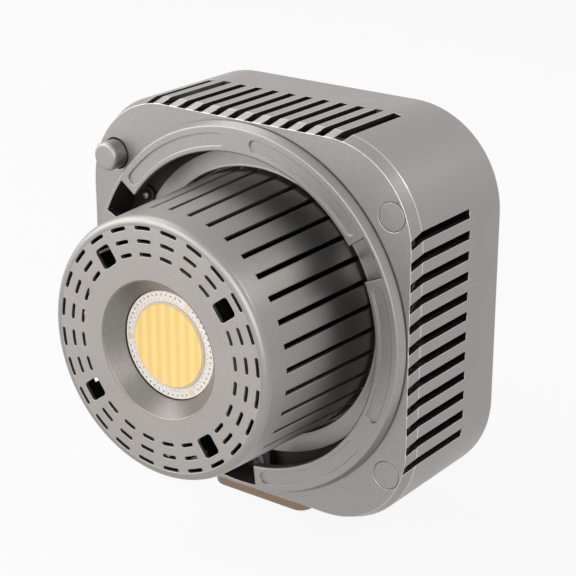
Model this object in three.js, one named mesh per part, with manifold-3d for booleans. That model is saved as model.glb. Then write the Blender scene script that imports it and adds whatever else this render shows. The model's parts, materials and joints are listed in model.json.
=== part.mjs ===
// The head of a handheld LED video light, in millimetres.
// The light shines along minus Y, X runs to the right as seen from its front, and Z is up.
// While it is being built, the front panel lies in the plane y = 0 and the lamp axis is the Y axis.
// The last step moves the whole light so that it stands on z = 0, centred over the origin.

import * as THREE from "three";
import { mergeGeometries, mergeVertices } from "three/addons/utils/BufferGeometryUtils.js";
import Module from "manifold-3d";

const wasm = await Module();
wasm.setup();

// Clearances shared by pieces that fit together
const seatGap = 0.3;
const runGap = 0.5;
const overrun = 1;
const weldDistance = 0.001;

// Accessory ring: the lip that three lugs turn behind
const lipRadius = 53.35;
const lugReach = 6.95;
const lipProud = 3.34;
const lipThickness = 3;
const lipChamfer = 0.35;
const ringWall = 1.1;
const ringOverhang = 1.4;
const ringBead = 1.8;
const ringGroove = 0.4;
const notchAngles = [30, 150, 270];
const notchHalfSpan = 6.4;
const stopSpanShare = 0.844;
const pillSpan = 42;
const pillTurn = 28.2;
const pillWidth = 4.2;
const pillDepth = 0.5;
const pillRadiusShare = 0.49;

// Layers behind the front panel, from front to back
const panelThickness = 3;
const channelDepth = 10;
const floorThickness = 2;
const flangeThickness = 1.7;
const fanThickness = 15;
const partHeight = 5.6;
const boardThickness = 1.6;
const boardSpacing = 3.7;
const displayThickness = 1.7;
const coverThickness = 2.5;
const coverInset = 0.5;

// Housing
const panelMargin = 0.6;
const bevelInset = 1.6;
const bevelDepth = 4.2;
const wallThickness = 2.5;
const rearRound = 1.4;
const cornerShare = 0.5;

// Cooling slots in the four walls
const ventCount = 12;
const ventWidth = 2.8;
const ventPitchShare = 0.1043;
const ventEndShare = 0.62;
const ventTipDrop = 2.4;
const ventTipShift = 1;

// Nose
const noseLength = 43.15;
const noseFrontShare = 0.7985;
const noseRearShare = 0.8397;
const noseWall = 2.1;
const noseBead = 1.6;
const noseShelf = 1.1;
const noseGap = 0.8;
const noseSlotCount = 36;
const noseSlotWidth = 1.6;
const noseSlotOffset = 1.8;
const noseSlotFrontShare = 0.79;
const noseSlotBack = 7;
const flangeReach = 3.2;

// Front cap, with its rows of short curved slots and four square holes
const capThickness = 2;
const capRowShares = [0.958, 0.856, 0.7525];
const capSlotSpans = [7.4, 6.9, 6.6];
const capSlotWidth = 1.25;
const capSlotPitch = 15;
const capTurn = 36.5;
const squareInnerShare = 0.73;
const squareDepth = 6.3;
const squareWidth = 5.7;
const squareCorner = 0.8;
const coneMouthShare = 0.5455;
const coneThroatShare = 0.447;
const coneDepth = 5.65;
const coneWall = 1.3;

// Light source
const boardShare = 0.4325;
const phosphorShare = 0.334;
const ledThickness = 1.4;
const phosphorThickness = 0.6;
const holderWidth = 6;
const holderThickness = 1.6;
const spreaderThickness = 4;
const finCount = 24;
const finThickness = 0.9;
const coolerHubShare = 0.32;
const coolerGap = 1.4;

// Dish around the nose
const dishInnerRise = 1;
const dishRim = 0.9;
const dishThickness = 1.6;
const dishGap = 1.35;
const dishHollow = 0.6;
const biteRadius = 4.6;

// Fan
const fanHalf = 40;
const fanCorner = 4;
const fanBoreShare = 0.965;
const fanScrewShare = 0.894;
const fanHubShare = 0.36;
const fanBladeCount = 9;
const fanBladeThickness = 1.2;
const fanBladeSweep = 24;
const fanStrutWidth = 4;
const fanStrutCount = 3;
const fanBaseThickness = 1.6;
const fanCupWall = 1.4;
const fanRotorGap = 1;

// Release button, lever and lock pin
const buttonRadius = 4.9;
const buttonProud = 5.7;
const buttonBevel = 0.8;
const buttonCollar = 1.1;
const buttonStem = 2.2;
const pinRadius = 1.5;
const pinProud = 2.6;
const leverThickness = 1.6;
const leverWidth = 5.6;
const springRadius = 3.1;
const springWire = 0.35;
const springTurns = 4.5;
const springLength = 7;
const pinShare = 0.325;

// Screws
const screwRadius = 1.5;
const screwHeadRadius = 2.7;
const screwHeadHeight = 2;
const driveRadius = 1.2;
const driveDepth = 1;
const capDiscRadius = 4.6;
const capDiscThickness = 1.4;
const bossRadius = 5.7;
const bossDepth = 6;
const caseScrewLength = 9;
const cornerXShare = 0.864;
const cornerZShare = 0.657;
const buttonXShare = 0.823;
const buttonZShare = 0.669;

// Foot
const footHalf = 20;
const footFrontShare = 0.12;
const footBackShare = 0.9;
const footThickness = 5;
const footPad = 1;
const footPadInset = 4;
const footCorner = 5;
const footRound = 1.6;
const insertRadius = 7;
const insertBore = 4.7;
const footScrewReach = 14;
const footScrewLength = 4.6;

// Boards and their parts
const postRadius = 3;
const driverHalfX = 47;
const driverTopShare = 0.2;
const driverBottomShare = 0.72;
const driverScrewXShare = 0.913;
const driverScrewZShares = [-0.1, -0.62];
const capacitorRadius = 2.6;
const capacitorLength = 14;
const inductorRadius = 6.4;
const inductorWire = 2.5;
const chipWidth = 12;
const chipHeight = 2.4;
const coolPlateShare = 0.81;
const coolPlateTopShare = 0.17;
const coolPlateBottomShare = 0.4;
const controlHalfX = 50;
const controlTopShare = 0.72;
const controlBottomShare = -0.03;

// Rear controls
const displayHalfX = 23;
const displayHalfZ = 12.5;
const displayXShare = 0.26;
const displayZShare = 0.45;
const windowMargin = 1.6;
const windowCorner = 2;
const windowThickness = 1.2;
const dialRadius = 8;
const dialHeight = 9;
const dialFlutes = 24;
const dialFluteDepth = 0.5;
const dialXShare = 0.78;
const dialZShares = [0.62, 0.26];
const shaftRadius = 3;
const shaftLength = 12;
const encoderHalf = 5.4;
const buttonKeyRadius = 3.2;
const buttonKeyProud = 1.6;
const buttonKeyFlange = 0.9;
const keyXShares = [0.1, 0.42];
const keyZShare = 0.1;
const rearSlotCount = 12;
const rearSlotWidth = 2.6;
const rearSlotHalf = 6;
const rearSlotPitch = 6.4;
const rearSlotZShare = -0.16;
const rockerHalfX = 8;
const rockerHalfZ = 5;
const rockerDepth = 7;
const rockerDip = 1.1;
const rockerTilt = 7;
const rockerFrameRim = 2;
const rockerFrameProud = 1;
const rockerFlange = 1;
const rockerCrown = 1;
const rockerXShare = 0.42;
const lowRowShare = -0.58;
const inletRadius = 8.6;
const inletWall = 1.6;
const inletRim = 1.6;
const inletRimThickness = 1.2;
const inletDepth = 8;
const inletPinRadius = 0.9;
const inletPinCircle = 3.3;
const inletPinCount = 3;

// How finely curves are divided
const ringSteps = 60;
const noseSteps = 48;
const discSteps = 28;
const partSteps = 16;
const smallSteps = 8;
const cornerSteps = 7;
const pillSteps = 6;
const arcSteps = 3;
const capSteps = 2;
const slotSteps = 1;
const beadSteps = 3;
const springSteps = 6;

// Radii and depths that follow from the sizes above
const channelRadius = lipRadius + lugReach;
const ringWallRadius = channelRadius + ringWall;
const ringRadius = ringWallRadius + ringOverhang;
const panelHalf = ringRadius + panelMargin;
const bodyHalf = panelHalf + bevelInset;
const innerHalf = bodyHalf - wallThickness;
const cornerRadius = bodyHalf * cornerShare;
const floorFront = channelDepth + seatGap;
const floorBack = floorFront + floorThickness;
const flangeFront = floorBack + seatGap;
const flangeBack = flangeFront + flangeThickness;
const fanFront = flangeBack + seatGap;
const fanBack = fanFront + fanThickness;
const partsFront = fanBack + screwHeadHeight + seatGap * 2;
const driverFront = partsFront + partHeight + seatGap;
const driverBack = driverFront + boardThickness;
const controlFront = driverBack + boardSpacing;
const controlBack = controlFront + boardThickness;
const displayBack = controlBack + seatGap + displayThickness;
const coverFront = displayBack + seatGap;
const coverBack = coverFront + coverThickness;
const bodyDepth = coverBack + coverInset;
const coverHalf = innerHalf - seatGap;
const noseFrontRadius = lipRadius * noseFrontShare;
const noseRearRadius = lipRadius * noseRearShare;
const noseFace = -noseLength;
const capRadius = noseFrontRadius - noseBead - seatGap;
const capBack = noseFace + capThickness;
const coneThroat = noseFace + coneDepth;
const coneMouthRadius = capRadius * coneMouthShare;
const coneThroatRadius = capRadius * coneThroatShare;
const ledFront = coneThroat + seatGap;
const ledBack = ledFront + ledThickness;
const spreaderFront = ledBack + seatGap;
const spreaderBack = spreaderFront + spreaderThickness;
const holderRadius = coneThroatRadius + holderWidth;
const floorInner = noseRearRadius + noseGap;
const flangeRadius = noseRearRadius + flangeReach;
const pinCircle = lipRadius + lugReach * pinShare;
const footTop = -bodyHalf - footPad;
const footBottom = footTop - footThickness;
const footFront = bodyDepth * footFrontShare;
const footBack = bodyDepth * footBackShare;
const dialBack = coverBack + seatGap + dialHeight;
const encoderThickness = displayThickness - seatGap;
const shaftCover = dialHeight - (shaftLength - coverThickness - seatGap) + seatGap;
const springSeat = floorBack + runGap + leverThickness + springLength + (springWire + seatGap) * 2;

// Looks of the materials
const titaniumPaint = { color: "#969089", roughness: 0.42, metalness: 0.55 };
const palePaint = { color: "#a59f99", roughness: 0.45, metalness: 0.5 };
const bronzeMetal = { color: "#8c7468", roughness: 0.35, metalness: 0.8 };
const blackPlastic = { color: "#1b1a19", roughness: 0.6, metalness: 0 };
const darkPaint = { color: "#2c2a29", roughness: 0.5, metalness: 0.3 };
const blackAnodised = { color: "#26282a", roughness: 0.45, metalness: 0.6 };
const copperMetal = { color: "#b87247", roughness: 0.35, metalness: 0.9 };
const steelMetal = { color: "#8e9194", roughness: 0.35, metalness: 0.9 };
const brassMetal = { color: "#c3a15a", roughness: 0.35, metalness: 0.9 };
const whiteBoard = { color: "#f4efe9", roughness: 0.5, metalness: 0 };
const phosphorGel = { color: "#ffe08a", roughness: 0.4, metalness: 0 };
const blackBoard = { color: "#17201c", roughness: 0.5, metalness: 0 };
const clearWindow = { color: "#20262b", roughness: 0.1, metalness: 0 };

// Turns degrees into radians, and names the point at an angle on a circle seen from the front.
const rad = THREE.MathUtils.degToRad;
const onCircle = (radius, angle) => [radius * Math.cos(rad(angle)), radius * Math.sin(rad(angle))];
const fullTurn = 360;
const halfTurn = fullTurn / 2;
const quarterTurn = halfTurn / 2;
const rightAngles = fullTurn / quarterTurn;
const hexagon = 6;
const triangleCorners = 3;

// Bare triangles of a geometry, ready to be merged with others.
function bare(geometry) {
  const plain = geometry.index ? geometry.toNonIndexed() : geometry.clone();
  plain.deleteAttribute("normal");
  plain.deleteAttribute("uv");
  return plain;
}

// A solid body from one geometry or from a list of geometries that stay clear of each other.
function solid(...geometries) {
  const welded = mergeVertices(mergeGeometries(geometries.map(bare)), weldDistance);
  const corners = [];
  for (let i = 0; i < welded.index.count; i += triangleCorners) {
    const [a, b, c] = [0, 1, 2].map((k) => welded.index.getX(i + k));
    if (a !== b && b !== c && c !== a) corners.push(a, b, c);
  }
  const vertProperties = new Float32Array(welded.attributes.position.array);
  const build = (triVerts) =>
    new wasm.Manifold(new wasm.Mesh({ numProp: triangleCorners, vertProperties, triVerts }));
  const made = build(new Uint32Array(corners));
  return made.volume() > 0 ? made : build(new Uint32Array(corners.reverse()));
}

// Takes each of the cutters away from a body.
function cut(body, ...cutters) {
  return cutters.reduce((rest, cutter) => rest.subtract(cutter), body);
}

// Joins bodies into one.
function join(body, ...others) {
  return others.reduce((sum, other) => sum.add(other), body);
}

// A named mesh of a body, with its own material.
function piece(name, body, look) {
  const { vertProperties, triVerts } = body.getMesh();
  const places = new THREE.BufferAttribute(new Float32Array(vertProperties), triangleCorners);
  const geometry = new THREE.BufferGeometry().setAttribute("position", places);
  geometry.setIndex(new THREE.BufferAttribute(new Uint32Array(triVerts), 1));
  geometry.computeVertexNormals();
  const mesh = new THREE.Mesh(geometry, new THREE.MeshStandardMaterial(look));
  mesh.name = name;
  return mesh;
}

// A profile of [radius, y] points turned about the lamp axis or about an axis beside it.
function turned(profile, steps, x = 0, z = 0) {
  const outline = profile.map(([radius, y]) => new THREE.Vector2(radius, y));
  const open = outline[0].x > 0 || outline[outline.length - 1].x > 0;
  if (open) outline.push(outline[0].clone());
  return new THREE.LatheGeometry(outline, steps).translate(x, 0, z);
}

const disc = (radius, from, to, steps, x, z) =>
  turned([[0, from], [radius, from], [radius, to], [0, to]], steps, x, z);

const tube = (inner, outer, from, to, steps, x, z) =>
  turned([[inner, from], [outer, from], [outer, to], [inner, to]], steps, x, z);

// Points of a quarter round in a profile, from one angle to another about its own centre.
function quarterRound(centreRadius, centreY, size, fromAngle, toAngle) {
  const points = [];
  for (let i = 0; i <= beadSteps; i++) {
    const [along, across] = onCircle(size, fromAngle + ((toAngle - fromAngle) * i) / beadSteps);
    points.push([centreRadius + along, centreY + across]);
  }
  return points;
}

// An outline of [x, z] points made thick between two depths.
function plate(outline, from, to) {
  const shape = new THREE.Shape(outline.map(([x, z]) => new THREE.Vector2(x, z)));
  const geometry = new THREE.ExtrudeGeometry(shape, { depth: to - from, bevelEnabled: false });
  return geometry.rotateX(rad(quarterTurn)).translate(0, to, 0);
}

// Outline of a rectangle with rounded corners.
function roundedOutline(halfX, halfZ, corner, steps, x = 0, z = 0) {
  const points = [];
  for (let side = 0; side < rightAngles; side++) {
    const start = side * quarterTurn;
    const signX = side === 0 || side === rightAngles - 1 ? 1 : -1;
    const signZ = side < rightAngles / 2 ? 1 : -1;
    for (let i = 0; i <= steps; i++) {
      const [along, up] = onCircle(corner, start + (quarterTurn * i) / steps);
      points.push([x + signX * (halfX - corner) + along, z + signZ * (halfZ - corner) + up]);
    }
  }
  return points;
}

// Points along an arc round the lamp axis, from one angle to another.
function arc(radius, from, to, steps) {
  const points = [];
  for (let i = 0; i <= steps; i++) points.push(onCircle(radius, from + ((to - from) * i) / steps));
  return points;
}

// Outline of a slot bent round the lamp axis, with round ends.
function arcSlot(radius, width, middle, span, steps) {
  const half = width / 2;
  const from = middle - span / 2;
  const to = middle + span / 2;
  return [
    ...arc(radius + half, from, to, steps),
    ...endCap(radius, half, to, 0),
    ...arc(radius - half, to, from, steps),
    ...endCap(radius, half, from, halfTurn),
  ];
}

// The inner points of a half round that closes one end of such a slot.
function endCap(radius, half, angle, start) {
  const [x, z] = onCircle(radius, angle);
  const points = [];
  for (let i = 1; i < capSteps; i++) {
    const [along, up] = onCircle(half, angle + start + (halfTurn * i) / capSteps);
    points.push([x + along, z + up]);
  }
  return points;
}

// Outline of a piece of a ring between two radii and two angles.
function sector(inner, outer, middle, span, steps) {
  const from = middle - span / 2;
  const to = middle + span / 2;
  return [...arc(outer, from, to, steps), ...arc(inner, to, from, steps)];
}

// A closed skin through outlines with equal numbers of points that stand behind each other.
function loft(sections) {
  const rings = sections.map(({ outline, y }) => outline.map(([x, z]) => new THREE.Vector3(x, y, z)));
  const count = rings[0].length;
  const points = [];
  for (let r = 0; r + 1 < rings.length; r++) {
    for (let i = 0; i < count; i++) {
      const j = (i + 1) % count;
      points.push(rings[r][i], rings[r][j], rings[r + 1][j], rings[r][i], rings[r + 1][j], rings[r + 1][i]);
    }
  }
  const first = rings[0];
  const last = rings[rings.length - 1];
  for (let i = 1; i + 1 < count; i++) {
    points.push(first[0], first[i + 1], first[i]);
    points.push(last[0], last[i], last[i + 1]);
  }
  return new THREE.BufferGeometry().setFromPoints(points);
}

// A section of the square housing at one depth.
function squareSection(half, corner, y) {
  return { outline: roundedOutline(half, half, corner, cornerSteps), y };
}

// A rectangular block between corners.
function block(x0, x1, y0, y1, z0, z1) {
  return new THREE.BoxGeometry(x1 - x0, y1 - y0, z1 - z0)
    .translate((x0 + x1) / 2, (y0 + y1) / 2, (z0 + z1) / 2);
}

// A screw along Y whose head faces forward (direction -1) or backward (direction 1), with a six-sided recess.
function screw(name, x, z, headOuter, length, direction) {
  const headInner = headOuter - direction * screwHeadHeight;
  const tip = headInner - direction * length;
  const profile = [[0, headOuter], [screwHeadRadius, headOuter], [screwHeadRadius, headInner],
    [screwRadius, headInner], [screwRadius, tip], [0, tip]];
  const ends = [headOuter - direction * driveDepth, headOuter + direction * overrun].sort((a, b) => a - b);
  const drive = disc(driveRadius, ends[0], ends[1], hexagon, x, z);
  return piece(name, cut(solid(turned(profile, smallSteps, x, z)), solid(drive)), steelMetal);
}

// Places in the corners of the front panel
const cornerX = bodyHalf * cornerXShare;
const cornerZ = bodyHalf * cornerZShare;
const capPlaces = [[cornerX, cornerZ], [cornerX, -cornerZ], [-cornerX, -cornerZ]];
const buttonX = -bodyHalf * buttonXShare;
const buttonZ = bodyHalf * buttonZShare;
const [pinX, pinZ] = onCircle(pinCircle, notchAngles[1]);
const stopAngles = [notchAngles[0], notchAngles[2]];

// The slots of one wall, first cut for the right wall and then turned to its own.
function wallSlots(side, tipMove, skipHalf) {
  const back = bodyDepth * ventEndShare;
  const pitch = bodyHalf * ventPitchShare;
  const half = ventWidth / 2;
  const reach = innerHalf - overrun - seatGap;
  const move = (tipMove * (bevelDepth + overrun)) / bevelDepth;
  const slots = [];
  for (let i = 0; i < ventCount; i++) {
    const u = (i - (ventCount - 1) / 2) * pitch;
    if (Math.abs(u) < skipHalf) continue;
    const outline = [[u - half, back], [u + half, back], [u + half, bevelDepth],
      [u + half + move, -overrun], [u - half + move, -overrun], [u - half, bevelDepth]];
    const shape = new THREE.Shape(outline.map(([a, y]) => new THREE.Vector2(-a, y)));
    const depth = bodyHalf + overrun - reach;
    slots.push(new THREE.ExtrudeGeometry(shape, { depth, bevelEnabled: false }).translate(0, 0, reach)
      .rotateY(rad(quarterTurn)));
  }
  const behindEdge = new THREE.Shape([[panelHalf, 0], [panelHalf, -overrun], [bodyHalf + overrun, -overrun],
    [bodyHalf + overrun, back + overrun], [reach, back + overrun], [reach, panelThickness]]
    .map(([n, y]) => new THREE.Vector2(n, y)));
  const limit = new THREE.ExtrudeGeometry(behindEdge, { depth: bodyHalf + bodyHalf, bevelEnabled: false })
    .translate(0, 0, -bodyHalf);
  return solid(...slots.map((g) => g.rotateY(rad(-quarterTurn * side))))
    .intersect(solid(limit.rotateY(rad(-quarterTurn * side))));
}

// The square housing: front panel, bevel and four slotted walls in one casting.
function mainHousing() {
  const inner = cornerRadius - wallThickness;
  const skin = loft([
    squareSection(panelHalf, cornerRadius - bevelInset, 0),
    squareSection(bodyHalf, cornerRadius, bevelDepth),
    squareSection(bodyHalf, cornerRadius, bodyDepth - rearRound),
    squareSection(bodyHalf - rearRound / 2, cornerRadius - rearRound / 2, bodyDepth),
  ]);
  const cavity = loft([
    squareSection(innerHalf, inner, panelThickness),
    squareSection(innerHalf, inner, bodyDepth + overrun),
  ]);
  const bore = disc(ringWallRadius + seatGap, -overrun, panelThickness + overrun, ringSteps);
  const bosses = capPlaces.map(([x, z]) =>
    disc(bossRadius, panelThickness - overrun, panelThickness + bossDepth, partSteps, x, z));
  const headSeat = capDiscThickness + seatGap + screwHeadHeight;
  const pockets = capPlaces.map(([x, z]) =>
    disc(capDiscRadius + seatGap, -overrun, capDiscThickness + seatGap, discSteps, x, z));
  const headPockets = capPlaces.map(([x, z]) =>
    disc(screwHeadRadius + runGap, 0, headSeat + seatGap, partSteps, x, z));
  const screwHoles = capPlaces.map(([x, z]) =>
    disc(screwRadius + seatGap, 0, panelThickness + bossDepth + overrun, smallSteps, x, z));
  const buttonHole = disc(buttonRadius + runGap, -overrun, panelThickness + overrun, partSteps,
    buttonX, buttonZ);
  const footHoles = [-footScrewReach, footScrewReach].map((x) =>
    disc(screwRadius + seatGap, 0, wallThickness + overrun + overrun, smallSteps)
      .rotateX(rad(quarterTurn)).translate(x, (footFront + footBack) / 2, -bodyHalf - overrun));
  const hollow = cut(solid(skin), solid(cavity));
  return cut(join(hollow, solid(...bosses)), solid(bore), solid(...pockets), solid(...headPockets),
    solid(...screwHoles), solid(buttonHole), solid(...footHoles),
    wallSlots(0, -ventTipDrop, 0), wallSlots(1, ventTipShift, 0),
    wallSlots(2, ventTipDrop, 0), wallSlots(3, -ventTipShift, footHalf + overrun + overrun));
}

// The raised ring with its lip, three notches and six shallow recesses.
function mountRing() {
  const front = -lipProud;
  const beadCentre = ringRadius - ringBead;
  const profile = [
    [lipRadius, front + lipThickness], [lipRadius, front + lipChamfer], [lipRadius + lipChamfer, front],
    ...quarterRound(beadCentre, front + ringBead, ringBead, -quarterTurn, 0),
    [ringRadius, -ringGroove], [ringRadius - ringGroove, -ringGroove], [ringRadius - ringGroove, 0],
    [ringWallRadius, 0], [ringWallRadius, channelDepth], [channelRadius, channelDepth],
    [channelRadius, front + lipThickness],
  ];
  const notches = notchAngles.map((angle) =>
    plate(sector(lipRadius - overrun, channelRadius, angle, notchHalfSpan * 2, arcSteps),
      front - overrun, front + lipThickness + overrun));
  const pillRadius = lipRadius + (beadCentre - lipRadius) * pillRadiusShare;
  const pills = notchAngles.flatMap((angle) => [-pillTurn, pillTurn].map((side) =>
    plate(arcSlot(pillRadius, pillWidth, angle + halfTurn + side, pillSpan, pillSteps),
      front - overrun, front + pillDepth)));
  return cut(solid(turned(profile, ringSteps)), solid(...notches), solid(...pills));
}

// The black floor of the lug channel, with two stops and a sleeve for the lock pin.
function channelFloor() {
  const stopFront = channelDepth - lipThickness - seatGap;
  const ring = tube(floorInner, ringWallRadius, floorFront, floorBack, discSteps);
  const stopSpan = notchHalfSpan * stopSpanShare * 2;
  const stops = stopAngles.map((angle) =>
    plate(sector(lipRadius - runGap, channelRadius - seatGap, angle, stopSpan, arcSteps),
      stopFront, floorBack));
  const sleeveRadius = pinRadius + seatGap + ringWall;
  const sleeve = disc(sleeveRadius, channelDepth - overrun, floorBack, partSteps, pinX, pinZ);
  const pinHole = disc(pinRadius + seatGap, 0, floorBack + overrun, smallSteps, pinX, pinZ);
  const heads = stopPlaces().map(([x, z]) =>
    disc(screwHeadRadius + seatGap, 0, stopFront + screwHeadHeight + seatGap, partSteps, x, z));
  const holes = [...stopPlaces(), ...fanScrewPlaces()].map(([x, z]) =>
    disc(screwRadius + seatGap, 0, fanFront, smallSteps, x, z));
  const body = join(solid(ring), solid(...stops), solid(sleeve));
  return cut(body, solid(pinHole), solid(...heads), solid(...holes));
}

const stopPlaces = () => stopAngles.map((angle) => onCircle((lipRadius + channelRadius) / 2, angle));

function fanScrewPlaces() {
  const place = fanHalf * fanScrewShare;
  return [[place, place], [-place, place], [-place, -place], [place, -place]];
}

// The shallow dish around the nose, with a bite for each notch.
function innerShroud() {
  const outer = lipRadius - dishGap;
  const back = channelDepth;
  const face = back - dishThickness;
  const profile = [
    [floorInner, back], [floorInner, face - dishInnerRise], [floorInner + dishRim, face - dishInnerRise],
    [floorInner + dishRim * 2, face], [outer - dishRim, face - dishHollow], [outer, face], [outer, back],
  ];
  const bites = notchAngles.map((angle) =>
    disc(biteRadius, 0, floorBack, partSteps, ...onCircle(pinCircle, angle)));
  return cut(solid(turned(profile, noseSteps)), solid(...bites));
}

// The round nose: a slightly tapered barrel with long slots and a flange behind the channel floor.
function noseBarrel() {
  const shelfFront = capBack + seatGap;
  const inner = (radius) => radius - noseWall;
  const profile = [
    [capRadius + seatGap, shelfFront], [capRadius + seatGap, noseFace],
    ...quarterRound(noseFrontRadius - noseBead, noseFace + noseBead, noseBead, -quarterTurn, 0),
    [noseRearRadius, flangeFront], [flangeRadius, flangeFront], [flangeRadius, flangeBack],
    [inner(noseRearRadius), flangeBack], [inner(noseFrontRadius), shelfFront + noseShelf + noseShelf],
    [capRadius - noseShelf, shelfFront + noseShelf], [capRadius - noseShelf, shelfFront],
  ];
  const slotFront = noseFace + noseLength * (1 - noseSlotFrontShare);
  const slots = [];
  for (let i = 0; i < noseSlotCount; i++) {
    const angle = noseSlotOffset + (fullTurn * i) / noseSlotCount;
    slots.push(block(noseFrontRadius - noseWall * 2, noseRearRadius + overrun, slotFront, noseSlotBack,
      -noseSlotWidth / 2, noseSlotWidth / 2).rotateY(rad(-angle)));
  }
  const earSpan = notchHalfSpan * 2;
  const ears = stopAngles.map((angle) =>
    plate(sector(noseRearRadius, channelRadius, angle, earSpan, arcSteps), flangeFront, flangeBack));
  const holes = [...stopPlaces(), ...fanScrewPlaces()].map(([x, z]) =>
    disc(screwRadius + seatGap, 0, fanFront, smallSteps, x, z));
  return cut(join(solid(turned(profile, noseSteps)), solid(...ears)), solid(...slots), solid(...holes));
}

// The face of the nose: a disc with a cone in its middle, four square holes and three rows of curved slots.
function frontCap() {
  const profile = [
    [coneMouthRadius, noseFace], [capRadius, noseFace], [capRadius, capBack],
    [coneMouthRadius + coneWall, capBack], [coneThroatRadius + coneWall, coneThroat],
    [coneThroatRadius, coneThroat],
  ];
  const cutters = [];
  const squareInner = capRadius * squareInnerShare;
  for (let i = 0; i < rightAngles; i++) {
    const middle = squareInner + squareDepth / 2;
    cutters.push(plate(roundedOutline(squareDepth / 2, squareWidth / 2, squareCorner, capSteps, middle, 0),
      noseFace - overrun, capBack + overrun).rotateY(rad(-capTurn - quarterTurn * i)));
  }
  capRowShares.forEach((share, row) => {
    for (let angle = 0; angle < fullTurn; angle += capSlotPitch) {
      if (row > 0 && angle % quarterTurn === 0) continue;
      const outline = arcSlot(capRadius * share, capSlotWidth, capTurn + angle, capSlotSpans[row], slotSteps);
      cutters.push(plate(outline, noseFace - overrun, capBack + overrun));
    }
  });
  return cut(solid(turned(profile, noseSteps)), solid(...cutters));
}

// The light source and the metal that carries its heat away.
function lightSource() {
  const group = new THREE.Group();
  const ledRadius = capRadius * boardShare;
  const hub = capRadius * coolerHubShare;
  const finRadius = noseFrontRadius - noseWall - coolerGap;
  const fins = [];
  for (let i = 0; i < finCount; i++) {
    fins.push(block(hub - overrun, finRadius, spreaderBack + seatGap, floorBack,
      -finThickness / 2, finThickness / 2).rotateY(rad((-fullTurn * i) / finCount)));
  }
  const hubBody = disc(hub, spreaderBack + seatGap, floorBack, finCount);
  const gel = disc(capRadius * phosphorShare, ledFront - phosphorThickness, ledFront, discSteps);
  const frame = tube(ledRadius + seatGap, holderRadius, ledFront, ledFront + holderThickness, discSteps);
  const spreader = disc(holderRadius, spreaderFront + seatGap, spreaderBack, discSteps);
  group.add(
    piece("led_board", solid(disc(ledRadius, ledFront, ledBack, discSteps)), whiteBoard),
    piece("led_phosphor", solid(gel), phosphorGel),
    piece("led_holder", solid(frame), blackPlastic),
    piece("heat_spreader", solid(spreader), blackAnodised),
    piece("cooler", join(solid(hubBody), solid(...fins)), blackAnodised),
  );
  return group;
}

// The fan behind the nose: frame with motor base, motor and rotor.
function fan() {
  const group = new THREE.Group();
  const bore = fanHalf * fanBoreShare;
  const hub = fanHalf * fanHubShare;
  const baseFront = fanBack - fanBaseThickness;
  const frame = solid(plate(roundedOutline(fanHalf, fanHalf, fanCorner, arcSteps), fanFront, fanBack));
  const tunnel = solid(disc(bore, fanFront - overrun, fanBack + overrun, discSteps));
  const struts = [];
  for (let i = 0; i < fanStrutCount; i++) {
    struts.push(block(0, bore + overrun, baseFront, fanBack, -fanStrutWidth / 2, fanStrutWidth / 2)
      .rotateY(rad((-fullTurn * i) / fanStrutCount - quarterTurn)));
  }
  const base = solid(disc(hub, baseFront, fanBack, partSteps));
  const holes = solid(...fanScrewPlaces().map(([x, z]) =>
    disc(screwRadius + seatGap, fanFront - overrun, fanBack + overrun, smallSteps, x, z)));
  const strutsAndBase = struts.reduce((sum, strut) => sum.add(solid(strut)), base);
  group.add(piece("fan_frame", join(cut(frame, tunnel, holes), strutsAndBase), blackPlastic));

  const motorRadius = hub - fanCupWall - runGap;
  const cupBack = baseFront - runGap;
  const cupFront = fanFront + fanRotorGap;
  const cupFloor = cupFront + fanCupWall;
  const motor = disc(motorRadius, cupFloor + fanRotorGap, baseFront - seatGap, partSteps);
  group.add(piece("fan_motor", solid(motor), copperMetal));
  const cup = turned([[0, cupFront], [hub, cupFront], [hub, cupBack], [hub - fanCupWall, cupBack],
    [hub - fanCupWall, cupFloor], [0, cupFloor]], discSteps);
  const blades = [];
  for (let i = 0; i < fanBladeCount; i++) {
    blades.push(solid(fanBlade(hub - fanCupWall / 2, bore - fanRotorGap, cupFront + fanRotorGap,
      cupBack - fanRotorGap).rotateY(rad((-fullTurn * i) / fanBladeCount))));
  }
  group.add(piece("fan_rotor", join(solid(cup), ...blades), blackPlastic));
  return group;
}

// One curved blade that sweeps round the hub from its front edge to its back edge.
function fanBlade(inner, outer, front, back) {
  const rows = [];
  for (let i = 0; i <= arcSteps; i++) {
    const share = i / arcSteps;
    const y = front + (back - front) * share;
    const sweep = fanBladeSweep * share;
    rows.push([inner, outer].map((radius) => [-1, 1].map((side) => {
      const angle = sweep + THREE.MathUtils.radToDeg((side * fanBladeThickness) / 2 / radius);
      const [x, z] = onCircle(radius, angle);
      return new THREE.Vector3(x, y, z);
    })));
  }
  const points = [];
  const quad = (a, b, c, d) => points.push(a, b, c, a, c, d);
  for (let i = 0; i < arcSteps; i++) {
    const [[a, b], [c, d]] = rows[i];
    const [[e, f], [g, h]] = rows[i + 1];
    quad(a, c, g, e);
    quad(b, f, h, d);
    quad(a, e, f, b);
    quad(c, d, h, g);
  }
  const [[a, b], [c, d]] = rows[0];
  const [[e, f], [g, h]] = rows[arcSteps];
  quad(a, b, d, c);
  quad(e, g, h, f);
  return new THREE.BufferGeometry().setFromPoints(points);
}

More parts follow.
